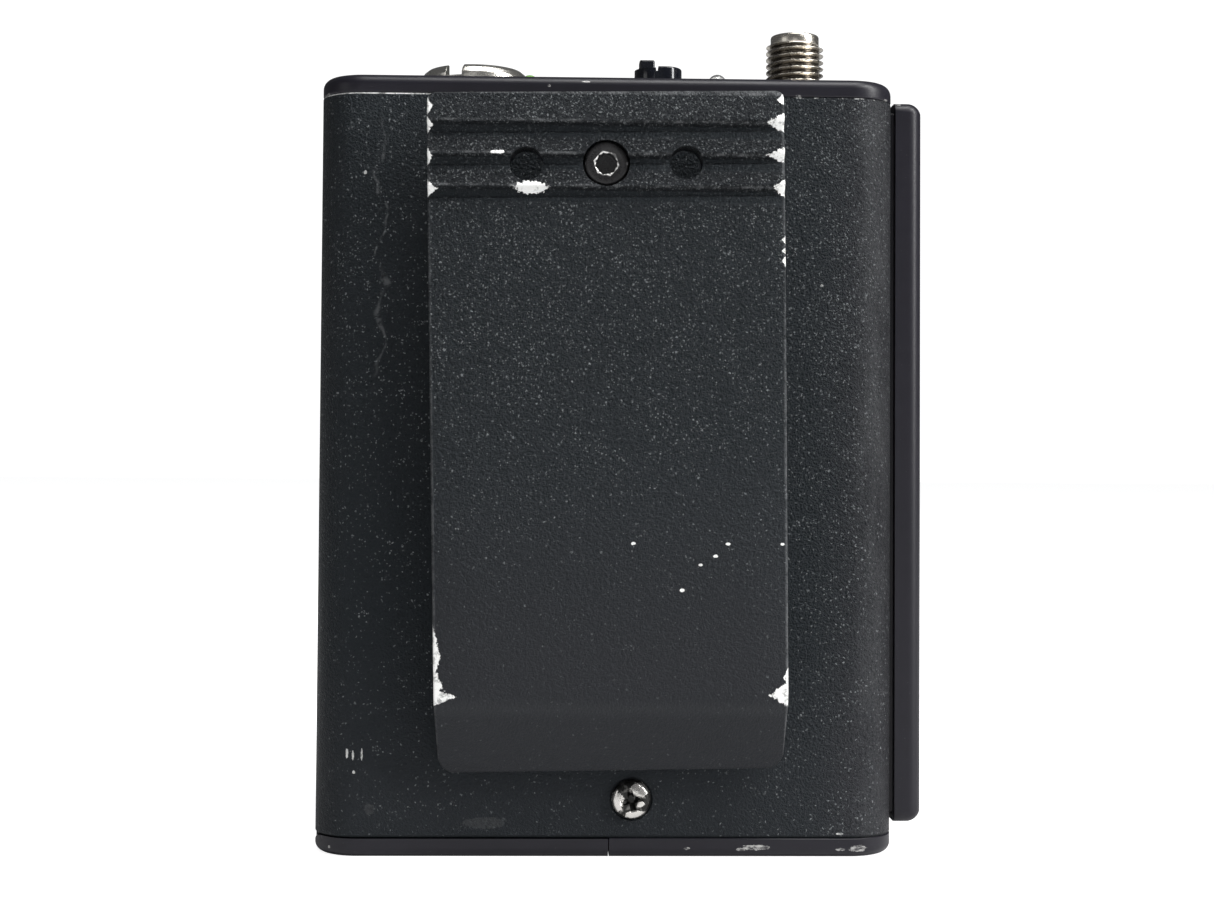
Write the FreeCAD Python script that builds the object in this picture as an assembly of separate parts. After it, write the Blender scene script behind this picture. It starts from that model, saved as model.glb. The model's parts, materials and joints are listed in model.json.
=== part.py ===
import FreeCAD, Part
import math
import os

# A pocket-size wireless bodypack transmitter, standing on its bottom plate.
# Millimetres. +Z is up, -Y is the side that carries the belt clip, and +X is
# the side that carries the control panel. The origin is in the middle of the
# case at the underside of the bottom plate.

V = FreeCAD.Vector
X_AXIS = V(1, 0, 0)
Y_AXIS = V(0, 1, 0)
Z_AXIS = V(0, 0, 1)

# ---- case ----
CASE_W = 59.7
CASE_D = 20.0
CASE_R = 4.6
TOTAL_H = 80.0
BOTTOM_T = 2.0
TOP_T = 2.0
FACE_WALL = 1.1
SIDE_WALL = 1.4
INNER_R = 2.6
EDGE_BREAK = 0.12
CASE_Z0 = BOTTOM_T
CASE_Z1 = TOTAL_H - TOP_T
HALF_W = CASE_W / 2
HALF_D = CASE_D / 2
INNER_X = HALF_W - SIDE_WALL
INNER_Y = HALF_D - FACE_WALL
TOP_ROUND = 1.1
BOTTOM_ROUND = 0.95

# ---- battery bay, left half, for one 9 V block ----
BAY_X1 = -1.0
DIVIDER_T = 1.2
BAY_TOP = 52.4
CONTACT_BOARD_T = 1.6
TERMINAL_PITCH = 12.7
BAY_MID_X = (-INNER_X + BAY_X1) / 2
CONTACT_H = 2.0
STUD_H = 2.4

# ---- battery door and its hinge ----
DOOR_X1 = 0.32
SEAM = 0.2
DOOR_T = 1.9
HINGE_R = DOOR_T / 2
HINGE_X = -HALF_W + HINGE_R + 0.03
HINGE_Z = HINGE_R
HINGE_PIN_R = 0.4
HINGE_CLEAR = 0.05
EAR_Y0 = 3.0
EAR_Y1 = 5.0
EAR_CLEAR = 0.15

FINGER_RIB_W = 0.6
FINGER_RIB_PITCH = 1.4
FINGER_RIB_HALF_Y = 5.0
FINGER_RIB_DEPTH = 0.3
PAD_X0 = -26.5
PAD_X1 = -3.5
PAD_HALF_Y = 6.5
PAD_T = 1.1

# ---- catch that holds the battery door ----
CATCH_WINDOW_Y = 3.0
CATCH_WINDOW_Z = 7.2
CATCH_X0 = BAY_X1 + DIVIDER_T + 0.1
CATCH_X1 = 6.2
CATCH_Z1 = 9.2
CATCH_SCREW_X = 4.0
CATCH_SCREW_LEN = 5.0
CATCH_LEAF_X = -0.6
CATCH_LEAF_T = 0.25
CATCH_LEAF_HALF_Y = 2.2
CATCH_LEAF_Z0 = 2.3
CATCH_LEAF_Z1 = 6.6
CATCH_BUMP = 0.15
CATCH_BUMP_Z = 3.9
CATCH_BUMP_HALF_Z = 0.5
TONGUE_X0 = BAY_X1 - 1.2
TONGUE_X1 = BAY_X1 - 0.3
TONGUE_HALF_Y = 2.5
TONGUE_Z1 = 5.4

# ---- small screws ----
M2_R = 0.98
M2_HOLE_R = 1.0
FLAT_HEAD_R = 1.9
FLAT_HEAD_H = 1.0
CROSS_W = 0.44
CROSS_SPAN = 2.0
CROSS_DEPTH = 0.55
TOP_SCREW_LEN = 7.0
BOTTOM_SCREW_LEN = 6.0
BOSS_R = 2.2
CORNER_X = 25.6
CORNER_Y = 5.8
BOSS_LEN = 7.0

# ---- belt clip ----
CLIP_X = -0.4
CLIP_SCREW_Z = 70.0
CLIP_LEAN_DEG = 0.9
CLIP_W = 35.5
CLIP_FACE = -HALF_D - 6.0
CLIP_TOP = 77.2
HEAD_T = 3.0
LEAF_T = 1.5
TOOTH_H = 0.6
TOOTH_PITCH = 3.24
FIRST_CREST_Z = 74.25
TOOTH_RAMP = 1.15
TOOTH_BACK = 0.65
GROOVE_DROP = 0.2
GROOVE_W = 0.5
FLEX_Z = 65.2
FLEX_CLEAR = 0.06
BEND_Z = 16.5
BEND_DEG = 28.0
BEND_R = 3.0
TIP_Z = 9.5
TIP_CORNER_R = 1.6
CLIP_HOLE_R = 1.68
CLIP_HOLE_X = 8.0
CLIP_CORNER_R = 0.8
CLIP_SCREW_HEAD_R = 2.23
CLIP_SCREW_HEAD_H = 1.6
CLIP_BORE_R = 2.36
CLIP_BORE_DEPTH = 1.8
CLIP_SCREW_R = 1.24
CLIP_HOLE_CLEAR = 0.1
CLIP_SPACER_R = 2.7
CLIP_NUT_HALF_X = 4.0
CLIP_NUT_HALF_Z = 3.0
CLIP_NUT_T = 1.8
HEX_SOCKET_AF = 2.0
HEX_SOCKET_DEPTH = 1.1

# ---- screw below the clip ----
REAR_SCREW_X = 2.7
REAR_SCREW_Z = 5.95
REAR_HEAD_R = 2.0
REAR_HEAD_H = 1.25
REAR_SPOT_R = 2.2
REAR_SPOT_DEPTH = 0.25
REAR_SCREW_LEN = 5.5
REAR_CROSS_HALF = 1.1
REAR_CROSS_W = 0.5
REAR_CROSS_DEPTH = 0.8

# ---- control panel on the right side ----
SIDE_T = 3.3
SIDE_GAP = 0.4
SIDE_HALF_Y = 6.5
SIDE_Z0 = 2.85
SIDE_Z1 = 78.3
SIDE_ROUND = 1.5
SIDE_SCREW_Z = (8.0, 72.0)
SIDE_SCREW_LEN = 6.0
SIDE_FOOT_INSET = 1.0
SELECTOR_Z = {"coarse": 58.0, "fine": 46.0}
SELECTOR_HOLE_R = 3.0
SELECTOR_X0 = 23.5
SELECTOR_X1 = 27.5
SELECTOR_HALF = 3.6
ROTOR_R = 2.6
ROTOR_CLEAR = 0.08
ROTOR_SEAT = 1.2
ROTOR_RECESS = 0.9
ROTOR_SLOT_W = 0.7
ROTOR_SLOT_DEPTH = 0.7

# ---- top panel fittings ----
JACK_X = -14.25
JACK_SHELL_R = 4.7
JACK_BORE_R = 3.9
JACK_NUT_R = 5.76
JACK_NUT_TOP_R = 5.15
JACK_NUT_H = 2.07
JACK_NUT_CHAMFER = 0.8
JACK_BASE_Z = 63.0
JACK_FLANGE_T = 1.3
JACK_KEY_HALF_X = 0.5
JACK_NOTCH_HALF = 0.92
JACK_NOTCH_DEPTH = 1.2
JACK_NOTCH_ANGLE = -21.0
JACK_RIM_Z = TOTAL_H + 0.8
JACK_FLOOR_Z = 69.0
JACK_PIN_CIRCLE = 2.2
JACK_PIN_R = 0.45
JACK_PIN_BASE = 60.5
JACK_PIN_TOP = 76.5
SWITCH_X = 5.55
SWITCH_TRAVEL = 2.2
NUB_W = 1.65
NUB_X0 = 3.5
NUB_TOP = 83.65
NUB_HALF_Y = 0.95
NUB_BASE = 75.4
NUB_GRIP_W = 0.2
NUB_GRIP_DEPTH = 0.15
SWITCH_HALF_X = 4.2
SWITCH_HALF_Y = 2.4
SWITCH_BASE = 71.0
GUARD_NOTCH_W = 0.16
GUARD_NOTCH_FLOOR = 0.3
GUARD_HALF_X = 2.55
GUARD_HALF_Y = 2.2
GUARD_H = 2.75
LED_R = 1.0
LED_Y = 3.7
LED_BASE = 74.5
LED_RIM_R = 1.4
LED_RIM_H = 0.6
POWER_LED_X = 12.3
AUDIO_LED_X = -8.4
POWER_LED_TOP = 83.05
AUDIO_LED_TOP = 82.75
GAIN_X = -2.2
GAIN_R = 1.55
GAIN_CLEAR = 0.08
GAIN_HALF_X = 2.9
GAIN_HALF_Y = 3.0
GAIN_BASE = 71.0
GAIN_SHAFT_BASE = 75.9
GAIN_RECESS = 0.35
GAIN_SLOT_W = 0.5
GAIN_SLOT_DEPTH = 0.7
SMA_X = 20.4
SMA_R = 3.1
SMA_CORE_R = 2.55
SMA_TOP = 86.5
SMA_LEAD_IN = 0.95
SMA_BASE = 73.0
SMA_UNDERCUT_H = 0.75
SMA_BORE_R = 2.25
SMA_PIN_R = 0.63
SMA_PIN_BORE_R = 0.46
SMA_PIN_RECESS = 0.35
SMA_NUT_AF = 8.0
SMA_NUT_H = 2.5
LEAD_Z = 68.2
LEAD_W = 1.6
LEAD_T = 0.4

# ---- circuit board ----
BOARD_Y0 = 5.6
BOARD_T = 1.2
BOARD_X = 27.8
BOARD_Z0 = 9.5
BOARD_Z1 = 69.0
WING_Z0 = 55.5
BOARD_SCREWS = ((22.0, 14.0), (5.5, 66.0), (-24.0, 60.0))
BOARD_SCREW_R = 0.79
BOARD_HEAD_R = 1.5
BOARD_BOSS_R = 1.8
CAN_X0 = 3.5
CAN_X1 = 20.5
CAN_Z0 = 19.0
CAN_Z1 = 42.0
CAN_H = 3.2
CAN_T = 0.3
CAPACITOR_R = 2.5
CAPACITOR_H = 6.0
CAPACITORS = ((6.0, 48.0), (12.5, 48.0), (6.0, 56.0))
CHIPS = ((12.0, 55.0, 7.0, 5.0), (12.5, 61.5, 5.0, 4.0), (-24.0, 64.5, 5.0, 4.0))
CHIP_H = 1.4
CRYSTAL_X0 = 5.0
CRYSTAL_X1 = 15.5
CRYSTAL_Z0 = 13.0
CRYSTAL_Z1 = 16.8
CRYSTAL_H = 3.4

# ---- blank rating plate on the front face ----
LABEL_HALF_X = 20.0
LABEL_Z0 = 22.0
LABEL_Z1 = 62.0
LABEL_T = 0.3

os.makedirs("parts", exist_ok=True)


def export(name, shape):
    shape.exportStep("parts/" + name + ".step")


def box(x0, y0, z0, x1, y1, z1):
    return Part.makeBox(x1 - x0, y1 - y0, z1 - z0, V(x0, y0, z0))


def rod(radius, start, axis, length):
    return Part.makeCylinder(radius, length, start, axis)


def cone(r0, r1, start, axis, length):
    return Part.makeCone(r0, r1, length, start, axis)


def ring(outer_r, inner_r, start, axis, length):
    return rod(outer_r, start, axis, length).cut(rod(inner_r, start, axis, length))


def rounded_outline(x0, y0, x1, y1, r):
    """A rectangle with round corners, in the plane Z = 0, as one face."""
    k = r * math.sqrt(0.5)
    corners = ((x1 - r, y0 + r, 1, -1), (x1 - r, y1 - r, 1, 1),
               (x0 + r, y1 - r, -1, 1), (x0 + r, y0 + r, -1, -1))
    edges = []
    ends = []
    for cx, cy, sx, sy in corners:
        a = V(cx + sx * r, cy, 0)
        b = V(cx, cy + sy * r, 0)
        first, last = (b, a) if sx * sy < 0 else (a, b)
        edges.append(Part.Arc(first, V(cx + sx * k, cy + sy * k, 0), last).toShape())
        ends.append((first, last))
    for i in range(4):
        here = ends[i][1]
        there = ends[(i + 1) % 4][0]
        if here.distanceToPoint(there) > 1e-6:
            edges.append(Part.LineSegment(here, there).toShape())
    return Part.Face(Part.Wire(Part.__sortEdges__(edges)))


def upright_block(x0, y0, z0, x1, y1, z1, r):
    """A block whose upright edges are round."""
    face = rounded_outline(x0, y0, x1, y1, r)
    face.translate(V(0, 0, z0))
    return face.extrude(V(0, 0, z1 - z0))


def edges_at(shape, axis, value, tol=1e-4):
    """Edges that lie in the plane where one coordinate has the given value."""
    found = []
    for edge in shape.Edges:
        box_ = edge.BoundBox
        low, high = {"x": (box_.XMin, box_.XMax), "y": (box_.YMin, box_.YMax),
                     "z": (box_.ZMin, box_.ZMax)}[axis]
        if abs(low - value) < tol and abs(high - value) < tol:
            found.append(edge)
    return found


def profile_x(points, x0, x1):
    """A closed (y, z) outline extruded along X."""
    ring_points = [V(x0, y, z) for y, z in points]
    ring_points.append(ring_points[0])
    return Part.Face(Part.makePolygon(ring_points)).extrude(V(x1 - x0, 0, 0))


def flat_screw(point, inward, length):
    """Flat-head screw: point is the middle of its head's flat face."""
    head = cone(FLAT_HEAD_R, M2_R, point, inward, FLAT_HEAD_H)
    shank = rod(M2_R, point, inward, length)
    cross = None
    side = Z_AXIS if abs(inward.z) < 0.5 else X_AXIS
    other = inward.cross(side)
    for arm, width in ((side, other), (other, side)):
        blade = box(-CROSS_W / 2, -CROSS_SPAN / 2, 0, CROSS_W / 2, CROSS_SPAN / 2, CROSS_DEPTH)
        blade.Placement = FreeCAD.Placement(point, FreeCAD.Rotation(width, arm, inward, "ZXY"))
        cross = blade if cross is None else cross.fuse(blade)
    return head.fuse(shank).cut(cross)


def countersink(point, inward, depth):
    """The hole that a flat-head screw sits in."""
    return cone(FLAT_HEAD_R + 0.03, M2_R + 0.03, point, inward, FLAT_HEAD_H).fuse(
        rod(M2_R + 0.03, point, inward, depth))


def hexagon(across_flats, point, axis, length):
    """A hexagonal prism along Y or Z."""
    corner = across_flats / math.sqrt(3)
    side = X_AXIS
    other = axis.cross(side)
    points = []
    for i in range(7):
        a = math.radians(60 * i + 30)
        points.append(point + side * (corner * math.cos(a)) + other * (corner * math.sin(a)))
    return Part.Face(Part.makePolygon(points)).extrude(axis * length)


def corner_points(signs_x=(-1, 1)):
    return [(sx * CORNER_X, sy * CORNER_Y) for sx in signs_x for sy in (-1, 1)]


# ---------------------------------------------------------------- case shell
def corner_boss(x, y, z):
    """A round boss with a web that ties it into the corner of the case."""
    reach_x = math.copysign(HALF_W - abs(x), x)
    reach_y = math.copysign(HALF_D - abs(y), y)
    web = box(min(x, x + reach_x), min(y, y + reach_y), z, max(x, x + reach_x),
              max(y, y + reach_y), z + BOSS_LEN)
    return rod(BOSS_R, V(x, y, z), Z_AXIS, BOSS_LEN).fuse(web)


def make_case_shell():
    outer = upright_block(-HALF_W, -HALF_D, CASE_Z0, HALF_W, HALF_D, CASE_Z1, CASE_R)
    rim = edges_at(outer, "z", CASE_Z0) + edges_at(outer, "z", CASE_Z1)
    outer = outer.makeChamfer(EDGE_BREAK, rim)
    inner = upright_block(-INNER_X, -INNER_Y, CASE_Z0, INNER_X, INNER_Y, CASE_Z1, INNER_R)
    divider = box(BAY_X1, -INNER_Y, CASE_Z0, BAY_X1 + DIVIDER_T, INNER_Y, BAY_TOP + CONTACT_BOARD_T)
    window = box(BAY_X1 - 1, -CATCH_WINDOW_Y, CASE_Z0, BAY_X1 + DIVIDER_T + 1, CATCH_WINDOW_Y,
                 CATCH_WINDOW_Z)
    shell = outer.cut(inner.cut(divider.cut(window)))
    inside = upright_block(-INNER_X - 0.3, -INNER_Y - 0.3, CASE_Z0, INNER_X + 0.3, INNER_Y + 0.3,
                           CASE_Z1, INNER_R)
    bosses = []
    for x, y in corner_points():
        bosses.append(corner_boss(x, y, CASE_Z1 - BOSS_LEN))
    for x, y in corner_points((1,)):
        bosses.append(corner_boss(x, y, CASE_Z0))
    for z in SIDE_SCREW_Z:
        bosses.append(rod(BOSS_R, V(INNER_X - 2.0, 0, z), X_AXIS, 2.3))
    for x, z in BOARD_SCREWS:
        bosses.append(rod(BOARD_BOSS_R, V(x, BOARD_Y0 + BOARD_T, z), Y_AXIS,
                          INNER_Y - BOARD_Y0 - BOARD_T + 0.3))
    for boss in bosses:
        shell = shell.fuse(boss.common(inside))
    for x, y in corner_points():
        shell = shell.cut(rod(M2_HOLE_R, V(x, y, CASE_Z1 - BOSS_LEN + 1), Z_AXIS, BOSS_LEN))
    for x, y in corner_points((1,)):
        shell = shell.cut(rod(M2_HOLE_R, V(x, y, CASE_Z0 - 1), Z_AXIS, BOSS_LEN))
    for z in SIDE_SCREW_Z:
        shell = shell.cut(rod(M2_HOLE_R, V(INNER_X - 3, 0, z), X_AXIS, 6))
    for x, z in BOARD_SCREWS:
        shell = shell.cut(rod(BOARD_SCREW_R + 0.01, V(x, BOARD_Y0, z), Y_AXIS, BOARD_T + 1.8))
    for z in SELECTOR_Z.values():
        shell = shell.cut(rod(SELECTOR_HOLE_R + 0.2, V(INNER_X - 1, 0, z), X_AXIS, SIDE_WALL + 2))
    shell = shell.cut(rod(CLIP_SCREW_R + CLIP_HOLE_CLEAR, V(CLIP_X, -HALF_D - 1, CLIP_SCREW_Z), Y_AXIS, 3))
    rear = V(REAR_SCREW_X, -HALF_D, REAR_SCREW_Z)
    shell = shell.cut(rod(M2_HOLE_R + 0.05, rear - Y_AXIS, Y_AXIS, 3))
    shell = shell.cut(rod(REAR_SPOT_R, rear - Y_AXIS, Y_AXIS, 1 + REAR_SPOT_DEPTH))
    shell = shell.cut(make_label_plate(0.05))
    for side in (-1, 1):
        low = min(side * EAR_Y0, side * EAR_Y1)
        ear = rod(HINGE_R, V(HINGE_X, low, HINGE_Z), Y_AXIS, EAR_Y1 - EAR_Y0)
        web = box(HINGE_X - HINGE_R, low, HINGE_Z, HINGE_X + HINGE_R - 0.4, low + EAR_Y1 - EAR_Y0,
                  CASE_Z0 + 0.4)
        shell = shell.fuse(ear.fuse(web))
    pin_hole = rod(HINGE_PIN_R + 0.01, V(HINGE_X, -EAR_Y1 - 1, HINGE_Z), Y_AXIS, 2 * EAR_Y1 + 2)
    return shell.cut(pin_hole)


def make_label_plate(margin):
    """Blank plate let into the front face; the margin makes its recess."""
    face = rounded_outline(-LABEL_HALF_X - margin, LABEL_Z0 - margin, LABEL_HALF_X + margin,
                           LABEL_Z1 + margin, 1.5)
    face.rotate(V(0, 0, 0), X_AXIS, 90)
    face.translate(V(0, HALF_D, 0))
    return face.extrude(V(0, -LABEL_T, 0))


# ------------------------------------------------------------- end plates
def make_top_panel():
    panel = upright_block(-HALF_W, -HALF_D, CASE_Z1, HALF_W, HALF_D, TOTAL_H, CASE_R)
    panel = panel.makeFillet(TOP_ROUND, edges_at(panel, "z", TOTAL_H))
    panel = panel.makeChamfer(EDGE_BREAK, edges_at(panel, "z", CASE_Z1))
    below = CASE_Z1 - 1
    depth = TOP_T + 2
    panel = panel.cut(rod(JACK_SHELL_R + 0.03, V(JACK_X, 0, below), Z_AXIS, depth))
    panel = panel.cut(rod(SMA_R + 0.03, V(SMA_X, 0, below), Z_AXIS, depth))
    panel = panel.cut(rod(GAIN_R + GAIN_CLEAR, V(GAIN_X, 0, below), Z_AXIS, depth))
    panel = panel.cut(cone(GAIN_R + GAIN_CLEAR, GAIN_R + 0.6, V(GAIN_X, 0, TOTAL_H - 0.5), Z_AXIS, 0.5))
    for x in (POWER_LED_X, AUDIO_LED_X):
        panel = panel.cut(rod(LED_R + 0.03, V(x, LED_Y, below), Z_AXIS, depth))
    panel = panel.cut(slider_slot(below, TOTAL_H + 1, 0.1))
    for x, y in corner_points():
        panel = panel.cut(countersink(V(x, y, TOTAL_H), -Z_AXIS, depth))
    return panel


def bottom_blank(thickness):
    """The whole bottom plate before it is parted into plate and door."""
    blank = upright_block(-HALF_W, -HALF_D, 0, HALF_W, HALF_D, thickness, CASE_R)
    return blank.makeFillet(BOTTOM_ROUND, edges_at(blank, "z", 0))


def make_bottom_plate():
    plate = bottom_blank(BOTTOM_T)
    plate = plate.makeChamfer(EDGE_BREAK, edges_at(plate, "z", BOTTOM_T))
    plate = plate.common(box(DOOR_X1 + SEAM, -HALF_D, 0, HALF_W, HALF_D, BOTTOM_T))
    for x, y in corner_points((1,)) + [(CATCH_SCREW_X, 0)]:
        plate = plate.cut(countersink(V(x, y, 0), Z_AXIS, BOTTOM_T))
    return plate


def make_battery_door():
    door = bottom_blank(DOOR_T).common(box(-HALF_W, -HALF_D, 0, DOOR_X1, HALF_D, DOOR_T))
    swing = box(HINGE_X, -HALF_D, 0, DOOR_X1, HALF_D, DOOR_T).fuse(
        rod(HINGE_R, V(HINGE_X, -HALF_D, HINGE_Z), Y_AXIS, CASE_D))
    door = door.common(swing)
    lip = [e for e in edges_at(door, "x", DOOR_X1) if e.BoundBox.ZMax < 1e-4]
    door = door.makeFillet(0.5, lip)
    for side in (-1, 1):
        low = min(side * EAR_Y0, side * EAR_Y1) - EAR_CLEAR
        high = max(side * EAR_Y0, side * EAR_Y1) + EAR_CLEAR
        door = door.cut(box(-HALF_W, low, -1, HINGE_X + HINGE_R + EAR_CLEAR, high, DOOR_T + 1))
    bore = rod(HINGE_PIN_R + HINGE_CLEAR, V(HINGE_X, -HALF_D, HINGE_Z), Y_AXIS, CASE_D)
    door = door.cut(bore)
    for i in range(3):
        x = DOOR_X1 - 3.0 - FINGER_RIB_PITCH * i
        door = door.cut(box(x - FINGER_RIB_W / 2, -FINGER_RIB_HALF_Y, 0, x + FINGER_RIB_W / 2,
                            FINGER_RIB_HALF_Y, FINGER_RIB_DEPTH))
    return door.fuse(box(TONGUE_X0, -TONGUE_HALF_Y, DOOR_T, TONGUE_X1, TONGUE_HALF_Y, TONGUE_Z1))


def make_door_pad():
    return upright_block(PAD_X0, -PAD_HALF_Y, DOOR_T, PAD_X1, PAD_HALF_Y, DOOR_T + PAD_T, 1.5)


def make_hinge_pin():
    return rod(HINGE_PIN_R, V(HINGE_X, -EAR_Y1, HINGE_Z), Y_AXIS, 2 * EAR_Y1)


# ------------------------------------------------------- battery door catch
def make_catch_block():
    block = box(CATCH_X0, -INNER_Y, BOTTOM_T, CATCH_X1, INNER_Y, CATCH_Z1)
    block = block.cut(rod(M2_HOLE_R, V(REAR_SCREW_X, -INNER_Y, REAR_SCREW_Z), Y_AXIS, CATCH_SCREW_LEN))
    return block.cut(rod(M2_HOLE_R, V(CATCH_SCREW_X, 0, BOTTOM_T), Z_AXIS, CATCH_SCREW_LEN))


def make_catch_spring():
    """Bent leaf that snaps over the door's tongue."""
    leaf = box(CATCH_LEAF_X, -CATCH_LEAF_HALF_Y, CATCH_LEAF_Z0, CATCH_LEAF_X + CATCH_LEAF_T,
               CATCH_LEAF_HALF_Y, CATCH_LEAF_Z1)
    arm = box(CATCH_LEAF_X, -CATCH_LEAF_HALF_Y, CATCH_LEAF_Z1 - CATCH_LEAF_T, CATCH_X0,
              CATCH_LEAF_HALF_Y, CATCH_LEAF_Z1)
    start = V(CATCH_LEAF_X, -CATCH_LEAF_HALF_Y, CATCH_BUMP_Z - CATCH_BUMP_HALF_Z)
    bump = Part.Face(Part.makePolygon([start, start + V(-CATCH_BUMP, 0, CATCH_BUMP_HALF_Z),
                                       start + V(0, 0, 2 * CATCH_BUMP_HALF_Z), start]))
    return leaf.fuse(arm).fuse(bump.extrude(V(0, 2 * CATCH_LEAF_HALF_Y, 0)))


# ------------------------------------------------------------ side panel
def make_side_panel():
    plate = box(HALF_W + SIDE_GAP, -SIDE_HALF_Y, SIDE_Z0, HALF_W + SIDE_T, SIDE_HALF_Y, SIDE_Z1)
    plate = plate.makeFillet(SIDE_ROUND, edges_at(plate, "x", HALF_W + SIDE_T))
    foot = box(HALF_W, -SIDE_HALF_Y + SIDE_FOOT_INSET, SIDE_Z0 + SIDE_FOOT_INSET, HALF_W + SIDE_GAP,
               SIDE_HALF_Y - SIDE_FOOT_INSET, SIDE_Z1 - SIDE_FOOT_INSET)
    plate = plate.fuse(foot)
    face = HALF_W + SIDE_T
    for z in SELECTOR_Z.values():
        plate = plate.cut(rod(SELECTOR_HOLE_R, V(HALF_W - 1, 0, z), X_AXIS, SIDE_T + 2))
        plate = plate.cut(cone(SELECTOR_HOLE_R, SELECTOR_HOLE_R + 0.5, V(face - 0.5, 0, z), X_AXIS, 0.5))
    for z in SIDE_SCREW_Z:
        plate = plate.cut(countersink(V(face, 0, z), -X_AXIS, SIDE_T + 1))
    return plate


def make_side_screws():
    return [flat_screw(V(HALF_W + SIDE_T, 0, z), -X_AXIS, SIDE_SCREW_LEN) for z in SIDE_SCREW_Z]


def make_selector_body(z):
    body = box(SELECTOR_X0, -SELECTOR_HALF, z - SELECTOR_HALF, SELECTOR_X1, BOARD_Y0, z + SELECTOR_HALF)
    return body.cut(rod(ROTOR_R + ROTOR_CLEAR, V(SELECTOR_X1 - ROTOR_SEAT, 0, z), X_AXIS, ROTOR_SEAT + 1))


def make_selector_rotor(z):
    """Drum with a screwdriver slot whose one end is an arrow head."""
    tip = HALF_W + SIDE_T - ROTOR_RECESS
    base = SELECTOR_X1 - ROTOR_SEAT + 0.1
    floor = tip - ROTOR_SLOT_DEPTH
    rotor = rod(ROTOR_R, V(base, 0, z), X_AXIS, tip - base)
    slot = box(floor, -ROTOR_SLOT_W / 2, z - 2.0, tip + 1, ROTOR_SLOT_W / 2, z + 2.0)
    arrow = Part.Face(Part.makePolygon([V(floor, -1.0, z + 1.0), V(floor, 1.0, z + 1.0),
                                        V(floor, 0, z + 2.2), V(floor, -1.0, z + 1.0)]))
    return rotor.cut(slot.fuse(arrow.extrude(V(ROTOR_SLOT_DEPTH + 1, 0, 0))))


# ------------------------------------------------------------- belt clip
def lean(shape):
    """The clip stands a little askew on its single screw."""
    shape.rotate(V(CLIP_X, 0, CLIP_SCREW_Z), Y_AXIS, -CLIP_LEAN_DEG)
    return shape


def make_clip_head():
    inner = CLIP_FACE + HEAD_T
    leaf_in = CLIP_FACE + LEAF_T
    low = FLEX_Z
    outline = [(inner, CLIP_TOP), (inner, FLEX_Z + 2.0), (leaf_in, FLEX_Z + 1.0), (leaf_in, low),
               (CLIP_FACE, low)]
    for i in (2, 1, 0):
        crest = FIRST_CREST_Z - i * TOOTH_PITCH
        outline += [(CLIP_FACE, crest - TOOTH_BACK - GROOVE_W),
                    (CLIP_FACE + GROOVE_DROP, crest - TOOTH_BACK - GROOVE_W / 2),
                    (CLIP_FACE, crest - TOOTH_BACK),
                    (CLIP_FACE - TOOTH_H, crest)]
        if i:
            outline.append((CLIP_FACE, crest + TOOTH_RAMP))
    outline.append((CLIP_FACE - 0.15, CLIP_TOP))
    head = profile_x(outline, CLIP_X - CLIP_W / 2, CLIP_X + CLIP_W / 2)
    half = CLIP_W / 2
    mask = box(CLIP_X - half, CLIP_FACE - 5, low, CLIP_X + half, CLIP_FACE + 15, CLIP_TOP)
    top = [e for e in mask.Edges if e.BoundBox.YLength > 19 and e.BoundBox.ZMin > CLIP_TOP - 0.1]
    head = head.common(mask.makeFillet(CLIP_CORNER_R, top))
    middle = CLIP_FACE + LEAF_T / 2
    seat = rod(LEAF_T / 2 + FLEX_CLEAR, V(CLIP_X - half - 1, middle, FLEX_Z), X_AXIS, CLIP_W + 2)
    head = head.cut(seat)
    for x in (-CLIP_HOLE_X, CLIP_HOLE_X):
        head = head.cut(rod(CLIP_HOLE_R, V(CLIP_X + x, CLIP_FACE - 2, CLIP_SCREW_Z), Y_AXIS, 8))
    centre = V(CLIP_X, CLIP_FACE - 2, CLIP_SCREW_Z)
    head = head.cut(rod(CLIP_SCREW_R + CLIP_HOLE_CLEAR, centre, Y_AXIS, 8))
    head = head.cut(rod(CLIP_BORE_R, centre, Y_AXIS, 2 + CLIP_BORE_DEPTH))
    return lean(head)


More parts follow.
